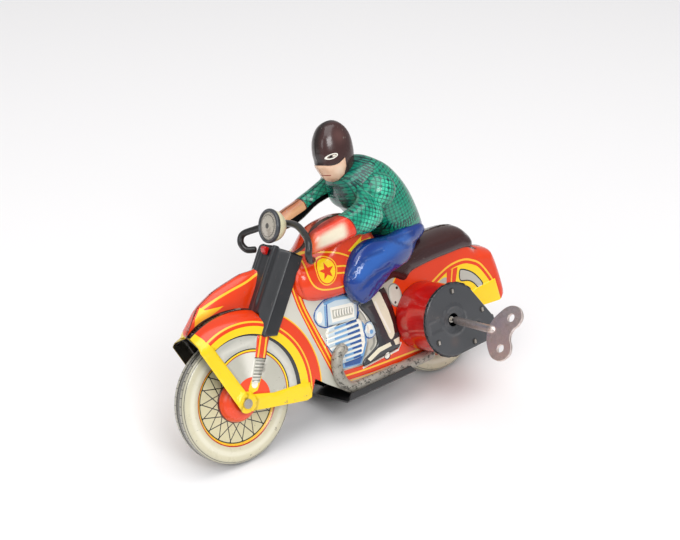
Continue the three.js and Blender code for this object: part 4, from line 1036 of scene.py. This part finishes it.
def key():
    shaft_profile = [(0.0, 0.4), (1.15, 0.4), (1.15, 0.0), (1.6, 0.0), (1.7, 0.3), (1.7, 20.5),
                     (1.78, 21.2), (1.95, 22.4), (1.95, 23.4), (1.6, 24.6), (0.8, 25.4), (0.0, 25.5)]
    shaft = lathe("winding_key_shaft", shaft_profile, KEY_STEEL, sides=40)
    outline = curve([(1.9, -2.4), (6.0, -0.6), (10.8, 3.6), (12.3, 7.6), (11.6, 11.6), (8.4, 14.4),
                     (4.8, 13.8), (2.6, 12.0), (0, 11.2), (-2.6, 12.0), (-4.8, 13.8), (-8.4, 14.4),
                     (-11.6, 11.6), (-12.3, 7.6), (-10.8, 3.6), (-6.0, -0.6), (-1.9, -2.4)], steps=5)
    holes = [disc(sign * 6.9, 8.4, 1.75, steps=28) for sign in (1, -1)]
    wing = slab("winding_key_wing", outline, -0.62, 0.62, KEY_STEEL, holes, bevel=0.3)
    stand_up = Matrix(((1, 0, 0, 0), (0, 0, 1, (KEY_LENGTH - 0.5) * MM), (0, 1, 0, 0), (0, 0, 0, 1)))
    wing.data.transform(stand_up)
    wing.data.flip_normals()
    spot = (LEANING @ Matrix.Translation(Vector((ARBOR[0], KEY_START, ARBOR[1])) * MM)
            @ Matrix.Rotation(math.radians(-KEY_TILT), 4, "X") @ Matrix.Rotation(math.radians(KEY_TURN), 4,
                                                                                 "Y"))
    place(shaft, "winder", "winding_key", matrix=spot)
    place(wing, "winder", matrix=spot)


key()

# ---------------------------------------------------------------- exhausts and stand
PIPE = [(-52.6, 12.2, 5.9), (-49.6, 12.4, 4.6), (-47.4, 12.5, 0.9), (-47.3, 12.5, -5.0),
        (-49.4, 12.5, -10.0), (-53.8, 12.5, -12.8), (-61, 12.5, -13.3), (-78, 12.4, -13.7),
        (-96, 12.2, -13.9), (-99.5, 11.8, -13.7)]
for side_name, sign in (("left", 1), ("right", -1)):
    pipe = sweep("exhaust_pipe_" + side_name, [(x, y * sign, z) for x, y, z in PIPE], 2.55, SILVER, 28,
                 squash=0.92)
    place(pipe, "toy_body", "exhaust_" + side_name)


def folded(name, section, x_front, x_rear, thickness, material, chamfer=0.0):
    """A strip of sheet folded to a section of (y, z), run between two x values, with cut corners."""
    line = dense(section, 1.5)
    up = offset_line(line, thickness / 2)
    down = offset_line(line, -thickness / 2)
    ring = list(map(tuple, up)) + list(map(tuple, down[::-1]))
    n = len(line)
    cut = np.array([chamfer * max(0.0, 1 - 0.35 * min(i, n - 1 - i)) for i in range(n)])
    cut = np.concatenate([cut, cut[::-1]])
    verts = [(x_front - c, y, z) for (y, z), c in zip(ring, cut)]
    verts += [(x_rear + c, y, z) for (y, z), c in zip(ring, cut)]
    count = len(ring)
    faces = [(i, (i + 1) % count, (i + 1) % count + count, i + count) for i in range(count)]
    for i in range(n - 1):
        for base, turn in ((0, 1), (count, -1)):
            quad = (base + i, base + 2 * n - 1 - i, base + 2 * n - 2 - i, base + i + 1)
            faces.append(quad[::turn])
    obj = mesh_object(name, verts, faces, None, None, material, flat=True)
    modifier = obj.modifiers.new("eased", "BEVEL")
    modifier.width, modifier.segments, modifier.limit_method = 0.2 * MM, 2, "ANGLE"
    modifier.angle_limit = math.radians(25)
    return obj


floor_z = (-3 * math.sin(LEAN) - WHEEL_R * math.cos(LEAN))


def floor_at(y):
    return (floor_z - y * math.sin(LEAN)) / math.cos(LEAN)


heel_y = -21.0
heel = (heel_y + 0.4 * math.sin(LEAN), floor_at(heel_y) + 0.42 * math.cos(LEAN))
toe = (heel[0] - 4.0 * math.cos(LEAN), heel[1] + 4.0 * math.sin(LEAN))
stand = folded("side_stand", [(16.3, -13.4), (16.3, -16.1), (15.9, -16.5), (-16.2, -16.5), (-17.0, -17.0),
                              heel, toe], -46, -86, 0.8, BLACK, chamfer=2.6)
place(stand, "toy_body", "stand_plate")


# ---------------------------------------------------------------- fork shield
SHIELD_FACE, SHIELD_TOP, SHIELD_CUT, SHIELD_TIP = 6.4, -67.1, -37.3, -28.5


def raked(s, n, y=0.0):
    """A point from its distance down the fork's rake and its distance in front of it."""
    return Vector((0.8 * n + 0.6 * s, y, 0.6 * n - 0.8 * s))


SHIELD_SECTION = [(0.30, 0.0), (0.30, 2.4), (0.95, 3.5), (1.05, 4.4), (0.40, 5.4), (0.36, 6.8), (-0.1, 7.9),
                  (-1.4, 9.4), (-3.4, 11.3), (-4.6, 11.6), (-10.0, 11.62)]


def fork_shield():
    """The bent sheet over the fork: a face with two pressed ridges, two flanks, and an arched lower edge."""
    line = dense(curve(SHIELD_SECTION, steps=4), 0.6)
    line = [(n, -y) for n, y in line[:0:-1]] + line
    rows = 40
    outer, inner = [], []
    for n, y in line:
        across = abs(y)
        lowest = SHIELD_CUT + 0.4 * (1 - min(across / 7.6, 1)) if n > -0.2 else SHIELD_CUT - n * 2.9
        lowest = min(lowest, SHIELD_TIP - 0.42 * max(0.0, -n - 4.0))
        crown = SHIELD_TOP + 0.9 * smooth(np.array([across]), 5.5, 8.0)[0]
        for row in range(rows + 1):
            s = crown + (lowest - crown) * row / rows
            fade = 1 - 0.9 * smooth(np.array([s]), SHIELD_CUT - 6, SHIELD_CUT - 1)[0] if across < 7 else 1
            relief = n if n < 0.3 else 0.3 + (n - 0.3) * fade
            roll = 0.25 * smooth(np.array([-s]), -SHIELD_TOP - 2.2, -SHIELD_TOP)[0]
            outer.append(raked(s, SHIELD_FACE + relief - roll, y))
            inner.append((s, n, y, roll, relief))
    width = rows + 1
    count = len(line)
    inside_points = []
    for i in range(count):
        before, after = line[max(i - 1, 0)], line[min(i + 1, count - 1)]
        dn, dy = after[0] - before[0], after[1] - before[1]
        length = math.hypot(dn, dy)
        for row in range(width):
            s, n, y, roll, relief = inner[i * width + row]
            inside_points.append(raked(s, SHIELD_FACE + relief - roll - 0.55 * dy / length,
                                       y + 0.55 * dn / length))
    verts = outer + inside_points
    total = len(outer)
    faces = []
    for i in range(count - 1):
        for row in range(rows):
            a, b = i * width + row, (i + 1) * width + row
            faces.append((a, b, b + 1, a + 1))
            faces.append((a + total, a + 1 + total, b + 1 + total, b + total))
    for i in range(count - 1):
        a, b = i * width, (i + 1) * width
        faces.append((b, a, a + total, b + total))
        a, b = a + rows, b + rows
        faces.append((a, b, b + total, a + total))
    for row in range(rows):
        a = row
        faces.append((a, a + 1, a + 1 + total, a + total))
        a = (count - 1) * width + row
        faces.append((a + 1, a, a + total, a + 1 + total))
    return mesh_object("fork_shield_sheet", verts, faces, None, None, SHIELD)


shield_piece = fork_shield()
place(shield_piece, "toy_body", "fork_shield")

# ---------------------------------------------------------------- headlamp and handlebar
LAMP = Vector((-36.6, 0, 65.6))
LAMP_TILT = math.radians(18.4)
LAMP_SPOT = (LEANING @ Matrix.Translation(LAMP * MM) @ Matrix.Rotation(-LAMP_TILT, 4, "Y")
             @ Matrix.Rotation(math.radians(-90), 4, "Z"))


def lens_material():
    """Printed tin lens: a fine grid of dots, a dark middle and one thin ring."""
    look = Look("lens_print")
    here = look.here
    apart = look.node("ShaderNodeSeparateXYZ")
    look.put(apart.inputs[0], here)
    x, z = apart.outputs[0], apart.outputs[2]
    radius = look.math("SQRT", look.math("ADD", look.math("MULTIPLY", x, x), look.math("MULTIPLY", z, z)))
    cells = look.node("ShaderNodeTexVoronoi")
    look.put(cells.inputs["Vector"], here)
    cells.inputs["Scale"].default_value = 1100
    cells.inputs["Randomness"].default_value = 0.35
    dots = look.band(cells.outputs["Distance"], 0.30, 0.42, 0.75, 0.0)
    dim = look.band(radius, 0.0, 0.0058, 0.9, 0.45)
    middle = look.band(radius, 0.0010, 0.0014, 0.9, 0.0)
    ring = look.math("MULTIPLY", look.band(radius, 0.0045, 0.00465), look.band(radius, 0.0048, 0.00495, 1.0,
                                                                               0.0))
    ground = look.mix(look.math("MULTIPLY", dots, dim), hue("b9b3a6"), hue("3a3733"))
    ground = look.mix(look.math("MAXIMUM", middle, look.math("MULTIPLY", ring, 0.9)), ground, hue("262422"))
    worn = look.band(look.noise(260, 4, 0.7), 0.56, 0.66, 0, 0.6)
    return look.finish(look.mix(worn, ground, hue("82776a")), 0.3, 0.2, 0.3)


LENS = lens_material()
bowl_arc = [(6.9 * math.cos(math.radians(a)), -1.5 - 6.2 * math.sin(math.radians(a)))
            for a in range(90, -1, -6)]
lamp_bowl = lathe("headlamp_shell", [(max(r, 0.02), y) for r, y in bowl_arc]
                  + [(6.9, -1.2), (6.4, -1.2), (6.3, -2.0)]
                  + [(max(r * 0.9, 0.02), y * 0.9) for r, y in bowl_arc[::-1]], LAMP_CREAM)
place(lamp_bowl, "toy_body", "headlamp_bowl", matrix=LAMP_SPOT)
lamp_rim = lathe("headlamp_bezel", curve([(6.7, -1.3), (7.25, -1.25), (7.45, -0.5), (7.3, 0.2), (6.85, 0.6),
                                          (6.3, 0.5), (6.05, 0.0), (6.1, -0.8)], True, 4), GUNMETAL,
                 closed=True)
place(lamp_rim, "toy_body", "headlamp_rim", matrix=LAMP_SPOT)
lamp_lens = lathe("headlamp_glass", [(0.02, 0.72), (1.5, 0.69), (3, 0.58), (4.4, 0.38), (5.6, 0.1),
                                     (6.15, -0.1), (6.15, -0.6), (0.02, -0.6)], LENS)
place(lamp_lens, "toy_body", "headlamp_lens", matrix=LAMP_SPOT)

bracket_side = [raked(-62.4, 7.2), raked(-65.7, 7.2), raked(-65.7, 9.2), raked(-64.6, 9.6),
                raked(-63.2, 8.8)]
bracket = slab("headlamp_stalk", [(p.x, p.z) for p in bracket_side], -1.6, 1.6, DRUM_RED, bevel=0.3)
place(bracket, "toy_body", "headlamp_bracket")

BAR = [(-40.6, 21.2, 50.6), (-37.8, 23.6, 51.4), (-36.6, 25, 54.5), (-38.2, 24.4, 58.2), (-41.4, 19, 60.6),
       (-45, 9, 63.4), (-46.2, 0, 63.8), (-45, -9, 63.4), (-41.4, -19, 61.4), (-38.2, -24.4, 59.8),
       (-36.6, -25, 56.4), (-37.8, -23.6, 53), (-40.6, -21.2, 52.2)]
bar = sweep("handlebar_tin", BAR, 1.5, BLACK, 20)
place(bar, "toy_body", "handlebar")


# ---------------------------------------------------------------- rider
TORSO = curve([(-74.6, 75), (-75.2, 68), (-77, 61.8), (-81.8, 58), (-86.4, 50.5), (-90, 43), (-91.8, 38.2),
               (-102, 38.0), (-113.4, 38.2), (-113.4, 43.5), (-111.5, 50), (-109.4, 57), (-107, 63.7),
               (-104, 69.7), (-99.4, 76), (-95.5, 79.4), (-90, 82.4), (-84, 80.4)], True, 3)
HEAD = curve([(-74, 74.2), (-70.6, 76.0), (-69.2, 79.4), (-67.8, 82.4), (-68.6, 84.6), (-68.1, 88),
              (-69.4, 94), (-73, 98.9), (-77.5, 100.6), (-82, 99.8), (-85.6, 96), (-87.3, 90), (-86.6, 83),
              (-84.8, 77), (-79.5, 73)], True, 4)
SLEEVE = curve([(-82.0, 73.4), (-87, 75.6), (-92.6, 73.5), (-94.4, 67.5), (-90.2, 60.8), (-81.5, 55.0),
                (-73.5, 51.8), (-67.5, 52.8), (-58, 52.4), (-49, 52.0), (-42.4, 52.2), (-41.6, 56.5),
                (-45, 61.2), (-54.5, 63.2), (-62.5, 64.2), (-69.5, 66.0), (-76.0, 69.2)], True, 4)
RIGHT_SLEEVE = curve([(-79, 77.6), (-84.5, 78.6), (-90, 76.5), (-90.6, 72.5), (-85, 68.0), (-76, 63),
                      (-66, 58.6), (-58, 56.9), (-50, 57.2), (-50.2, 61.6), (-57, 65.4), (-66, 67.6),
                      (-73, 70.8)], True, 4)
THIGH = curve([(-57.6, 33), (-60, 39.5), (-65, 46), (-73, 48.8), (-84, 47.2), (-97, 47.4), (-108, 46),
               (-110.6, 41.5), (-104, 36.6), (-95, 32), (-83, 30.8), (-77.5, 27), (-71, 22.4), (-66, 21),
               (-61.5, 24.6)], True, 4)

TORSO_FORM = Inflated(TORSO, step=1.0)
HEAD_FORM = Inflated(HEAD, step=0.8)
SLEEVE_FORM = Inflated(SLEEVE, step=0.8)
RIGHT_SLEEVE_FORM = Inflated(RIGHT_SLEEVE, step=0.8)
THIGH_FORM = Inflated(THIGH, step=0.8)


def knit_material(name, pitch, angle, dot_pitch):
    """Printed tin whose green parts carry a fine woven grid and rows of dark stitches."""
    look = Look(name)
    ink = look.node("ShaderNodeAttribute", attribute_name="print_and_painted_light").outputs["Color"]
    parts = look.node("ShaderNodeSeparateColor")
    look.put(parts.inputs[0], ink)
    green = look.band(look.math("SUBTRACT", parts.outputs[1], parts.outputs[0]), 0.10, 0.16)
    turn = look.node("ShaderNodeMapping")
    turn.inputs["Rotation"].default_value = (0, math.radians(angle), 0)
    turn.inputs["Scale"].default_value = (1, 0, 1)
    look.put(turn.inputs["Vector"], look.here)
    apart = look.node("ShaderNodeSeparateXYZ")
    look.put(apart.inputs[0], turn.outputs[0])
    strands, stitches = [], []
    for part in (apart.outputs[0], apart.outputs[2]):
        cell = look.math("FRACT", look.math("MULTIPLY", part, 1 / (pitch * MM)))
        gap = look.math("ABSOLUTE", look.math("SUBTRACT", cell, 0.5))
        strands.append(look.band(gap, 0.34, 0.43))
        cell = look.math("FRACT", look.math("MULTIPLY", part, 1 / (dot_pitch * MM)))
        stitches.append(look.band(look.math("ABSOLUTE", look.math("SUBTRACT", cell, 0.5)), 0.30, 0.36))
    grid = look.math("MULTIPLY", look.math("MAXIMUM", *strands), 0.85)
    dots = look.math("MULTIPLY", *stitches)
    pattern = look.math("MULTIPLY", look.math("MAXIMUM", grid, dots), green)
    fade = look.band(look.noise(140, 3), 0.30, 0.6, 0.7, 1.0)
    colour = look.mix(look.math("MULTIPLY", pattern, fade), ink, hue("073a3a"))
    colour = look.scaled(colour, look.math("MULTIPLY_ADD", look.noise(70, 4), 0.35, 0.83))
    chips = look.math("MULTIPLY", look.band(look.noise(420, 3, 0.7), 0.66, 0.68),
                      look.band(look.noise(38, 2), 0.50, 0.62))
    colour = look.mix(look.math("MULTIPLY", chips, 0.6), colour, hue("8d8a80"))
    look.bump(look.math("SUBTRACT", look.noise(30, 2), look.math("MULTIPLY", pattern, 0.12)), 0.25, 0.0005)
    return look.finish(colour, look.math("MULTIPLY_ADD", look.noise(90, 4), 0.16, 0.18), coat=0.3)


KNIT_BODY = knit_material("rider_print", 1.6, -14, 3.2)
KNIT_SLEEVE = knit_material("sleeve_print", 1.75, 28, 3.5)
TROUSER_PRINT = litho("trouser_print", wear=0.5, gloss=0.16)


def torso_height(points):
    return 17.2 * TORSO_FORM(points) ** 0.76


HEM = [(-72, 51.6), (-75.5, 50.2), (-84.6, 46.6), (-94.7, 44.9), (-103.5, 46.0), (-113, 47.6)]
COLLAR = [(-75.6, 71.0), (-79.5, 72.6), (-84.0, 75.6), (-88.0, 79.6), (-90.4, 83)]


RIB_INK = hue("06302f")
HEM_RIB_RISE = 4.4


def ribs(line, width, reach, step, colour):
    """Short dark dashes side by side along a line."""
    fine = np.array(dense(curve(line, steps=8), 0.2))
    run = np.concatenate([[0], np.cumsum(np.linalg.norm(np.diff(fine, axis=0), axis=1))])
    spots = np.arange(step / 2, run[-1], step)
    points = [(float(np.interp(t, run, fine[:, 0])), float(np.interp(t, run, fine[:, 1]))) for t in spots]
    low, high = offset_line(points, -reach), offset_line(points, reach)
    return [(colour, ribbon([tuple(low[i]), tuple(high[i])], width)) for i in range(1, len(points) - 1)
            if math.dist(low[i], high[i]) > reach]


def torso_layers():
    below_hem = curve(HEM, steps=6) + [(-120, 47), (-120, 30), (-60, 30), (-60, 51)]
    layers = [(TEAL, [])]
    # Painted shade darkens the green towards the outline, and a painted highlight lightens the upper back.
    layers.append((blend_to(hue("0c6f5f"), lambda p: 0.7 * smooth(-TORSO_FORM(p), -0.5, -0.1)), []))
    layers.append((blend_to(hue("35c79e"), lambda p: 0.45 * smooth(6 - np.hypot(p[:, 0] + 96, p[:, 1] - 70),
                                                                   0, 6)), []))
    layers.append((hue("127a66"), [curve(COLLAR, steps=6) + [(-84, 90), (-66, 84), (-66, 74)]]))
    layers += ribs(COLLAR, 0.55, 1.9, 1.35, RIB_INK)
    layers += ribs([(x, z + HEM_RIB_RISE) for x, z in HEM], 0.55, 1.5, 1.35, RIB_INK)
    layers.append((TROUSER, [below_hem]))
    layers.append((hue("0d2a60"), ribbon(curve([(x, z - 0.2) for x, z in HEM], steps=6), 0.5)))
    return layers


def head_height(points):
    brow = 0.5 * smooth(1.6 - np.hypot((points[:, 0] + 72) / 1.6, points[:, 1] - 86.6), 0, 1.2)
    return 7.3 * HEAD_FORM(points) ** 0.9 - 0.3 * brow


HELMET = hue("3b2120")


def head_layers():
    brow_line = [(-62, 84.8), (-68.6, 83.4), (-71.4, 82.7), (-74.4, 82.9), (-78.2, 84.6)]
    face = brow_line + [(-78.4, 80.4), (-77.2, 77.0), (-74.8, 74.4), (-71.6, 72.4), (-60, 72)]
    chin = [(-78.2, 84), (-79.6, 79.4), (-78.8, 76.0), (-76.2, 73.4), (-73.4, 71.5), (-75, 68), (-82, 70),
            (-80.8, 78)]
    eye = disc(-72.2, 86.4, 2.7, 1.15, -0.12)
    return [
        (HELMET, []),
        # Painted highlight: the helmet turns lighter towards its crown.
        (blend_to(hue("6d4a46"), lambda p: 0.5 * smooth(5 - np.hypot(p[:, 0] + 78, p[:, 1] - 94), 0, 5)),
         []),
        (blend_to(hue("150d0d"), lambda p: 0.85 * smooth(-distance(p, HEAD, True), -0.9, -0.1)), []),
        (hue("2a1a18"), [curve(chin, True, 4)]),
        (SKIN, [face]),
        # Painted highlight: a lighter patch on the cheek.
        (blend_to(hue("f6dcc6"), lambda p: 0.6 * smooth(3.4 - np.hypot(p[:, 0] + 74.6, p[:, 1] - 79.4), 0,
                                                        3)), [face]),
        (blend_to(hue("b4745a"), lambda p: 0.5 * smooth(-distance(p, face, True), -0.8, 0)), [face]),
        (hue("a8463a"), ribbon([(-69.3, 78.4), (-71.2, 78.1)], 0.35)),
        (hue("1c0f0e"), ribbon(curve(brow_line), 0.45)),
        (WHITE, [eye]), (hue("6b5a50"), [disc(-72.3, 86.4, 2.0, 0.72, -0.12)]),
        (hue("d9d2c6"), [disc(-73.2, 86.5, 0.7, 0.45)]), (hue("14100f"), [disc(-71.8, 86.3, 0.7, 0.62)])]


def sleeve_height(form):
    def height(points):
        along = 0.6 * (points[:, 0] + 88) - 0.5 * (points[:, 1] - 70)
        base = np.maximum(torso_height(points) - 1.6, 17.4 * smooth(along, -4, 13))
        return base + 6.7 * form(points) ** 0.75
    return height


CUFF = [(-60.4, 63.9), (-62.6, 61.6), (-63.8, 58.6), (-64.6, 55.6), (-64.6, 52.2)]


def sleeve_layers():
    glove = curve(CUFF, steps=5) + [(-60, 48), (-30, 48), (-30, 66), (-58, 66)]
    arm_line = [(-88, 70), (-80, 61.6), (-70, 57.4)]
    return [
        (TEAL, []),
        # Painted highlight along the arm, and painted shade darkening the green towards the outline.
        (blend_to(hue("48d6ae"), lambda p: 0.75 * smooth(4.4 - distance(p, curve(arm_line)), 0, 4)), []),
        (blend_to(hue("0c6f5f"), lambda p: 0.75 * smooth(-SLEEVE_FORM(p), -0.45, -0.08)), []),
        (hue("8fd9c2"), ribbon(curve([(-93.4, 68), (-89.6, 61.6), (-81.5, 55.8), (-74.5, 52.6)]), 0.4)),
        (GLOVE_RED, [glove]),
        # Painted highlight: the glove turns cream away from its edges.
        (blend_to(CREAM, lambda p: 0.95 * smooth(distance(p, SLEEVE, True), 1.2, 3.6)
                  * smooth(p[:, 0], -61.5, -57.5) * smooth(-p[:, 0], 41, 45)), [glove]),
        (blend_to(hue("f07a3a"), lambda p: 0.5 * smooth(p[:, 0], -48, -42)), [glove]),
        (hue("7d1712"), ribbon(curve(CUFF, steps=5), 0.5)),
        (blend_to(hue("6d120c"), lambda p: 0.8 * smooth(-distance(p, SLEEVE, True), -1.0, -0.1)), [glove])]


def right_sleeve_layers():
    glove = [(-66.4, 70), (-67.6, 66), (-67.2, 60), (-66, 54), (-40, 54), (-40, 70)]
    lower = [(-90.6, 72.5), (-85, 68.0), (-76, 63), (-66, 58.6), (-58, 56.9), (-50, 57.2)]
    return [
        (TEAL, []),
        # Painted shade darkens the green towards the outline.
        (blend_to(hue("0c6f5f"), lambda p: 0.6 * smooth(-RIGHT_SLEEVE_FORM(p), -0.45, -0.08)), []),
        (hue("b06a45"), [glove]),
        # Painted highlight: the hand turns lighter away from its edges.
        (blend_to(hue("d9a97c"), lambda p: 0.8 * smooth(distance(p, RIGHT_SLEEVE, True), 0.8, 2.6)),
         [glove]),
        (hue("6a2a1a"), ribbon([(-66.4, 70), (-67.6, 66), (-67.2, 60), (-66, 54)], 0.5)),
        (CREAM, ribbon(curve(lower), 1.5))]


FOLDS = [([(-60, 37), (-68, 42), (-78, 43)], 1.6, 0.55), ([(-62, 30), (-70, 34), (-80, 35.5)], 1.8, 0.5),
         ([(-66, 24), (-73, 30), (-84, 32.6)], 1.4, 0.45), ([(-84, 46), (-92, 41), (-103, 38)], 2.0, 0.5),
         ([(-76, 48), (-88, 45.4), (-100, 44)], 1.5, 0.4)]


def leg_height(points):
    x, z = points[:, 0], points[:, 1]
    base = 11.2 + 4.2 * smooth(z, 21, 34) * smooth(x, -104, -84) - 5 * smooth(-x, 92, 108)
    base = np.maximum(base, np.minimum(torso_height(points) - 0.8, 15.6))
    crest = 21.6 - 4.2 * smooth(-x, 82, 106)
    found = base + (crest - base) * THIGH_FORM(points) ** 0.75
    for line, reach, depth in FOLDS:
        found -= depth * smooth(-distance(points, curve(line)), -reach, 0) * smooth(THIGH_FORM(points), 0.1,
                                                                                    0.5)
    return found


def leg_layers():
    layers = [(TROUSER, []),
              # A painted highlight runs along the thigh, and painted shade darkens the blue towards the
              # outline.
              (blend_to(hue("3672c6"), lambda p: 0.55
                        * smooth(5.2 - distance(p, curve([(-64, 37), (-76, 41), (-94, 43)])),
                                                              0, 4)), []),
              (blend_to(hue("0c2a63"), lambda p: 0.8 * smooth(-THIGH_FORM(p), -0.42, -0.1)), [])]
    # Painted shade along each fold.
    for line, reach, _ in FOLDS:
        layers.append((blend_to(hue("0d2f70"), lambda p, line=line, reach=reach: 0.65 * smooth(
            -distance(p, curve(line)), -reach * 0.7, 0)), []))
    layers.append((hue("0a1b3c"), ribbon(curve([(-61.5, 24.9), (-66, 21.4), (-71, 22.8), (-77.5, 27.4)]),
                                         0.7)))
    return layers


for side_name, side in (("left", 1), ("right", -1)):
    torso = pressing("rider_torso_" + side_name, TORSO, torso_height, torso_layers(), KNIT_BODY, side,
                     pitch=1.8, rings=[(TORSO + TORSO[:1], (0.15, 0.45, 1.0, 1.8, 3.0))])
    place(torso, "toy_body", f"rider_{side_name}_half")
    head = pressing("rider_head_" + side_name, HEAD, head_height, head_layers(), KNIT_BODY, side, pitch=1.3,
                    rings=[(HEAD + HEAD[:1], (0.12, 0.4, 0.9, 1.6))])
    place(head, "toy_body")
    leg = pressing("rider_leg_tin_" + side_name, THIGH, leg_height, leg_layers(), TROUSER_PRINT, side,
                   pitch=1.4, rings=[(THIGH + THIGH[:1], (0.15, 0.45, 1.0, 1.8))])
    place(leg, "toy_body", f"rider_{side_name}_leg")

sleeve = pressing("rider_sleeve_left", SLEEVE, sleeve_height(SLEEVE_FORM), sleeve_layers(), KNIT_SLEEVE, 1,
                  pitch=1.3, rings=[(SLEEVE + SLEEVE[:1], (0.12, 0.4, 0.9, 1.6))], back=hue("0a4a42"))
place(sleeve, "toy_body", "rider_left_arm")
sleeve = pressing("rider_sleeve_right", RIGHT_SLEEVE, sleeve_height(RIGHT_SLEEVE_FORM),
                  right_sleeve_layers(), KNIT_SLEEVE, -1, pitch=1.3,
                  rings=[(RIGHT_SLEEVE + RIGHT_SLEEVE[:1], (0.12, 0.4, 0.9, 1.6))], back=hue("232527"))
place(sleeve, "toy_body", "rider_right_arm")

# The right arm's upper edge is rolled over towards the rider's chest.
CURL_TOP = [(-50.2, 61.4), (-57, 65.2), (-66, 67.4), (-73, 70.6), (-79, 77.2), (-84.5, 78.2)]
CURL = curve(CURL_TOP, steps=5) + [(-86, 73.4), (-80, 69.8), (-73.6, 66.2), (-66, 63.0), (-58, 61.2),
                                   (-50.2, 59.6)]


def curl_height(points):
    along = 0.6 * (points[:, 0] + 88) - 0.5 * (points[:, 1] - 70)
    base = 17.2 * smooth(along, -4, 13) + 1.5
    return -base + 4.6 * rounded(distance(points, curve(CURL_TOP, steps=5)), 5.5)


curl = pressing("rider_sleeve_right_roll", CURL, curl_height, right_sleeve_layers()[:-1], KNIT_SLEEVE, 1,
                pitch=1.2, rings=[(curve(CURL_TOP, steps=5), (0.12, 0.4, 0.9, 1.6, 2.6))],
                back=hue("232527"), wavy=False)
place(curl, "toy_body")


# ---------------------------------------------------------------- finishes on the plain working parts
FINISHES = {
    STEEL: ["front_axle", "rear_axle", "motor_middle_plate", "winding_arbor", "ratchet_wheel", "click",
            "click_pin", "second_arbor", "motor_pillar_1", "motor_pillar_2", "motor_pillar_3",
            "motor_pillar_4"],
    BRASS: ["great_wheel", "second_wheel"], SPRING_STEEL: ["mainspring", "click_spring"]}
for finish, names in FINISHES.items():
    for name in names:
        node = bpy.data.objects[name]
        node.data.materials.clear()
        node.data.materials.append(finish)

# ---------------------------------------------------------------- floor, light and camera
def lamp(name, energy, place_at, target, size):
    data = bpy.data.lights.new(name, "AREA")
    data.energy, data.size = energy, size
    obj = bpy.data.objects.new(name, data)
    bpy.context.scene.collection.objects.link(obj)
    obj.location = place_at
    obj.rotation_euler = (Vector(target) - Vector(place_at)).to_track_quat("-Z", "Y").to_euler()
    return obj


def studio():
    bpy.ops.mesh.primitive_plane_add(size=8)
    floor = bpy.context.object
    floor.name = "floor"
    look = Look("studio_floor")
    floor.data.materials.append(look.finish(hue("f1f0f1"), 0.6, specular=0.2))
    world = bpy.data.worlds.new("studio")
    bpy.context.scene.world = world
    world.use_nodes = True
    background = world.node_tree.nodes["Background"]
    background.inputs["Color"].default_value = (1.0, 0.995, 0.99, 1)
    background.inputs["Strength"].default_value = 0.42
    middle = (0, 0, 0.06)
    lamp("overhead_light", 17.0, (0.1, 0.1, 1.5), middle, 1.6)
    lamp("key_light", 7.0, (0.3, 1.0, 0.9), middle, 0.5)
    lamp("fill_light", 2.5, (1.2, 0.1, 0.7), middle, 0.6)


VIEW_AZIMUTH, VIEW_ELEVATION = 140.4, 29.2
VIEW_DISTANCE, VIEW_LENS = 630.0, 79.4
AIM = Vector((-50, 10.6, 49.5))


def viewpoint():
    """A level camera in front of the toy and to its left, aimed at a point measured from the front axle."""
    azimuth, elevation = math.radians(VIEW_AZIMUTH), math.radians(VIEW_ELEVATION)
    forward = Vector((-math.sin(azimuth) * math.cos(elevation), math.cos(azimuth) * math.cos(elevation),
                      -math.sin(elevation)))
    data = bpy.data.cameras.new("camera")
    data.sensor_width, data.lens = 36.0, VIEW_LENS
    data.clip_start, data.clip_end = 0.01, 20
    obj = bpy.data.objects.new("camera", data)
    bpy.context.scene.collection.objects.link(obj)
    obj.location = ORIGIN + (AIM - forward * VIEW_DISTANCE) * MM
    obj.rotation_euler = forward.to_track_quat("-Z", "Y").to_euler()
    bpy.context.scene.camera = obj


bpy.context.scene.view_settings.view_transform = "Standard"
studio()
viewpoint()
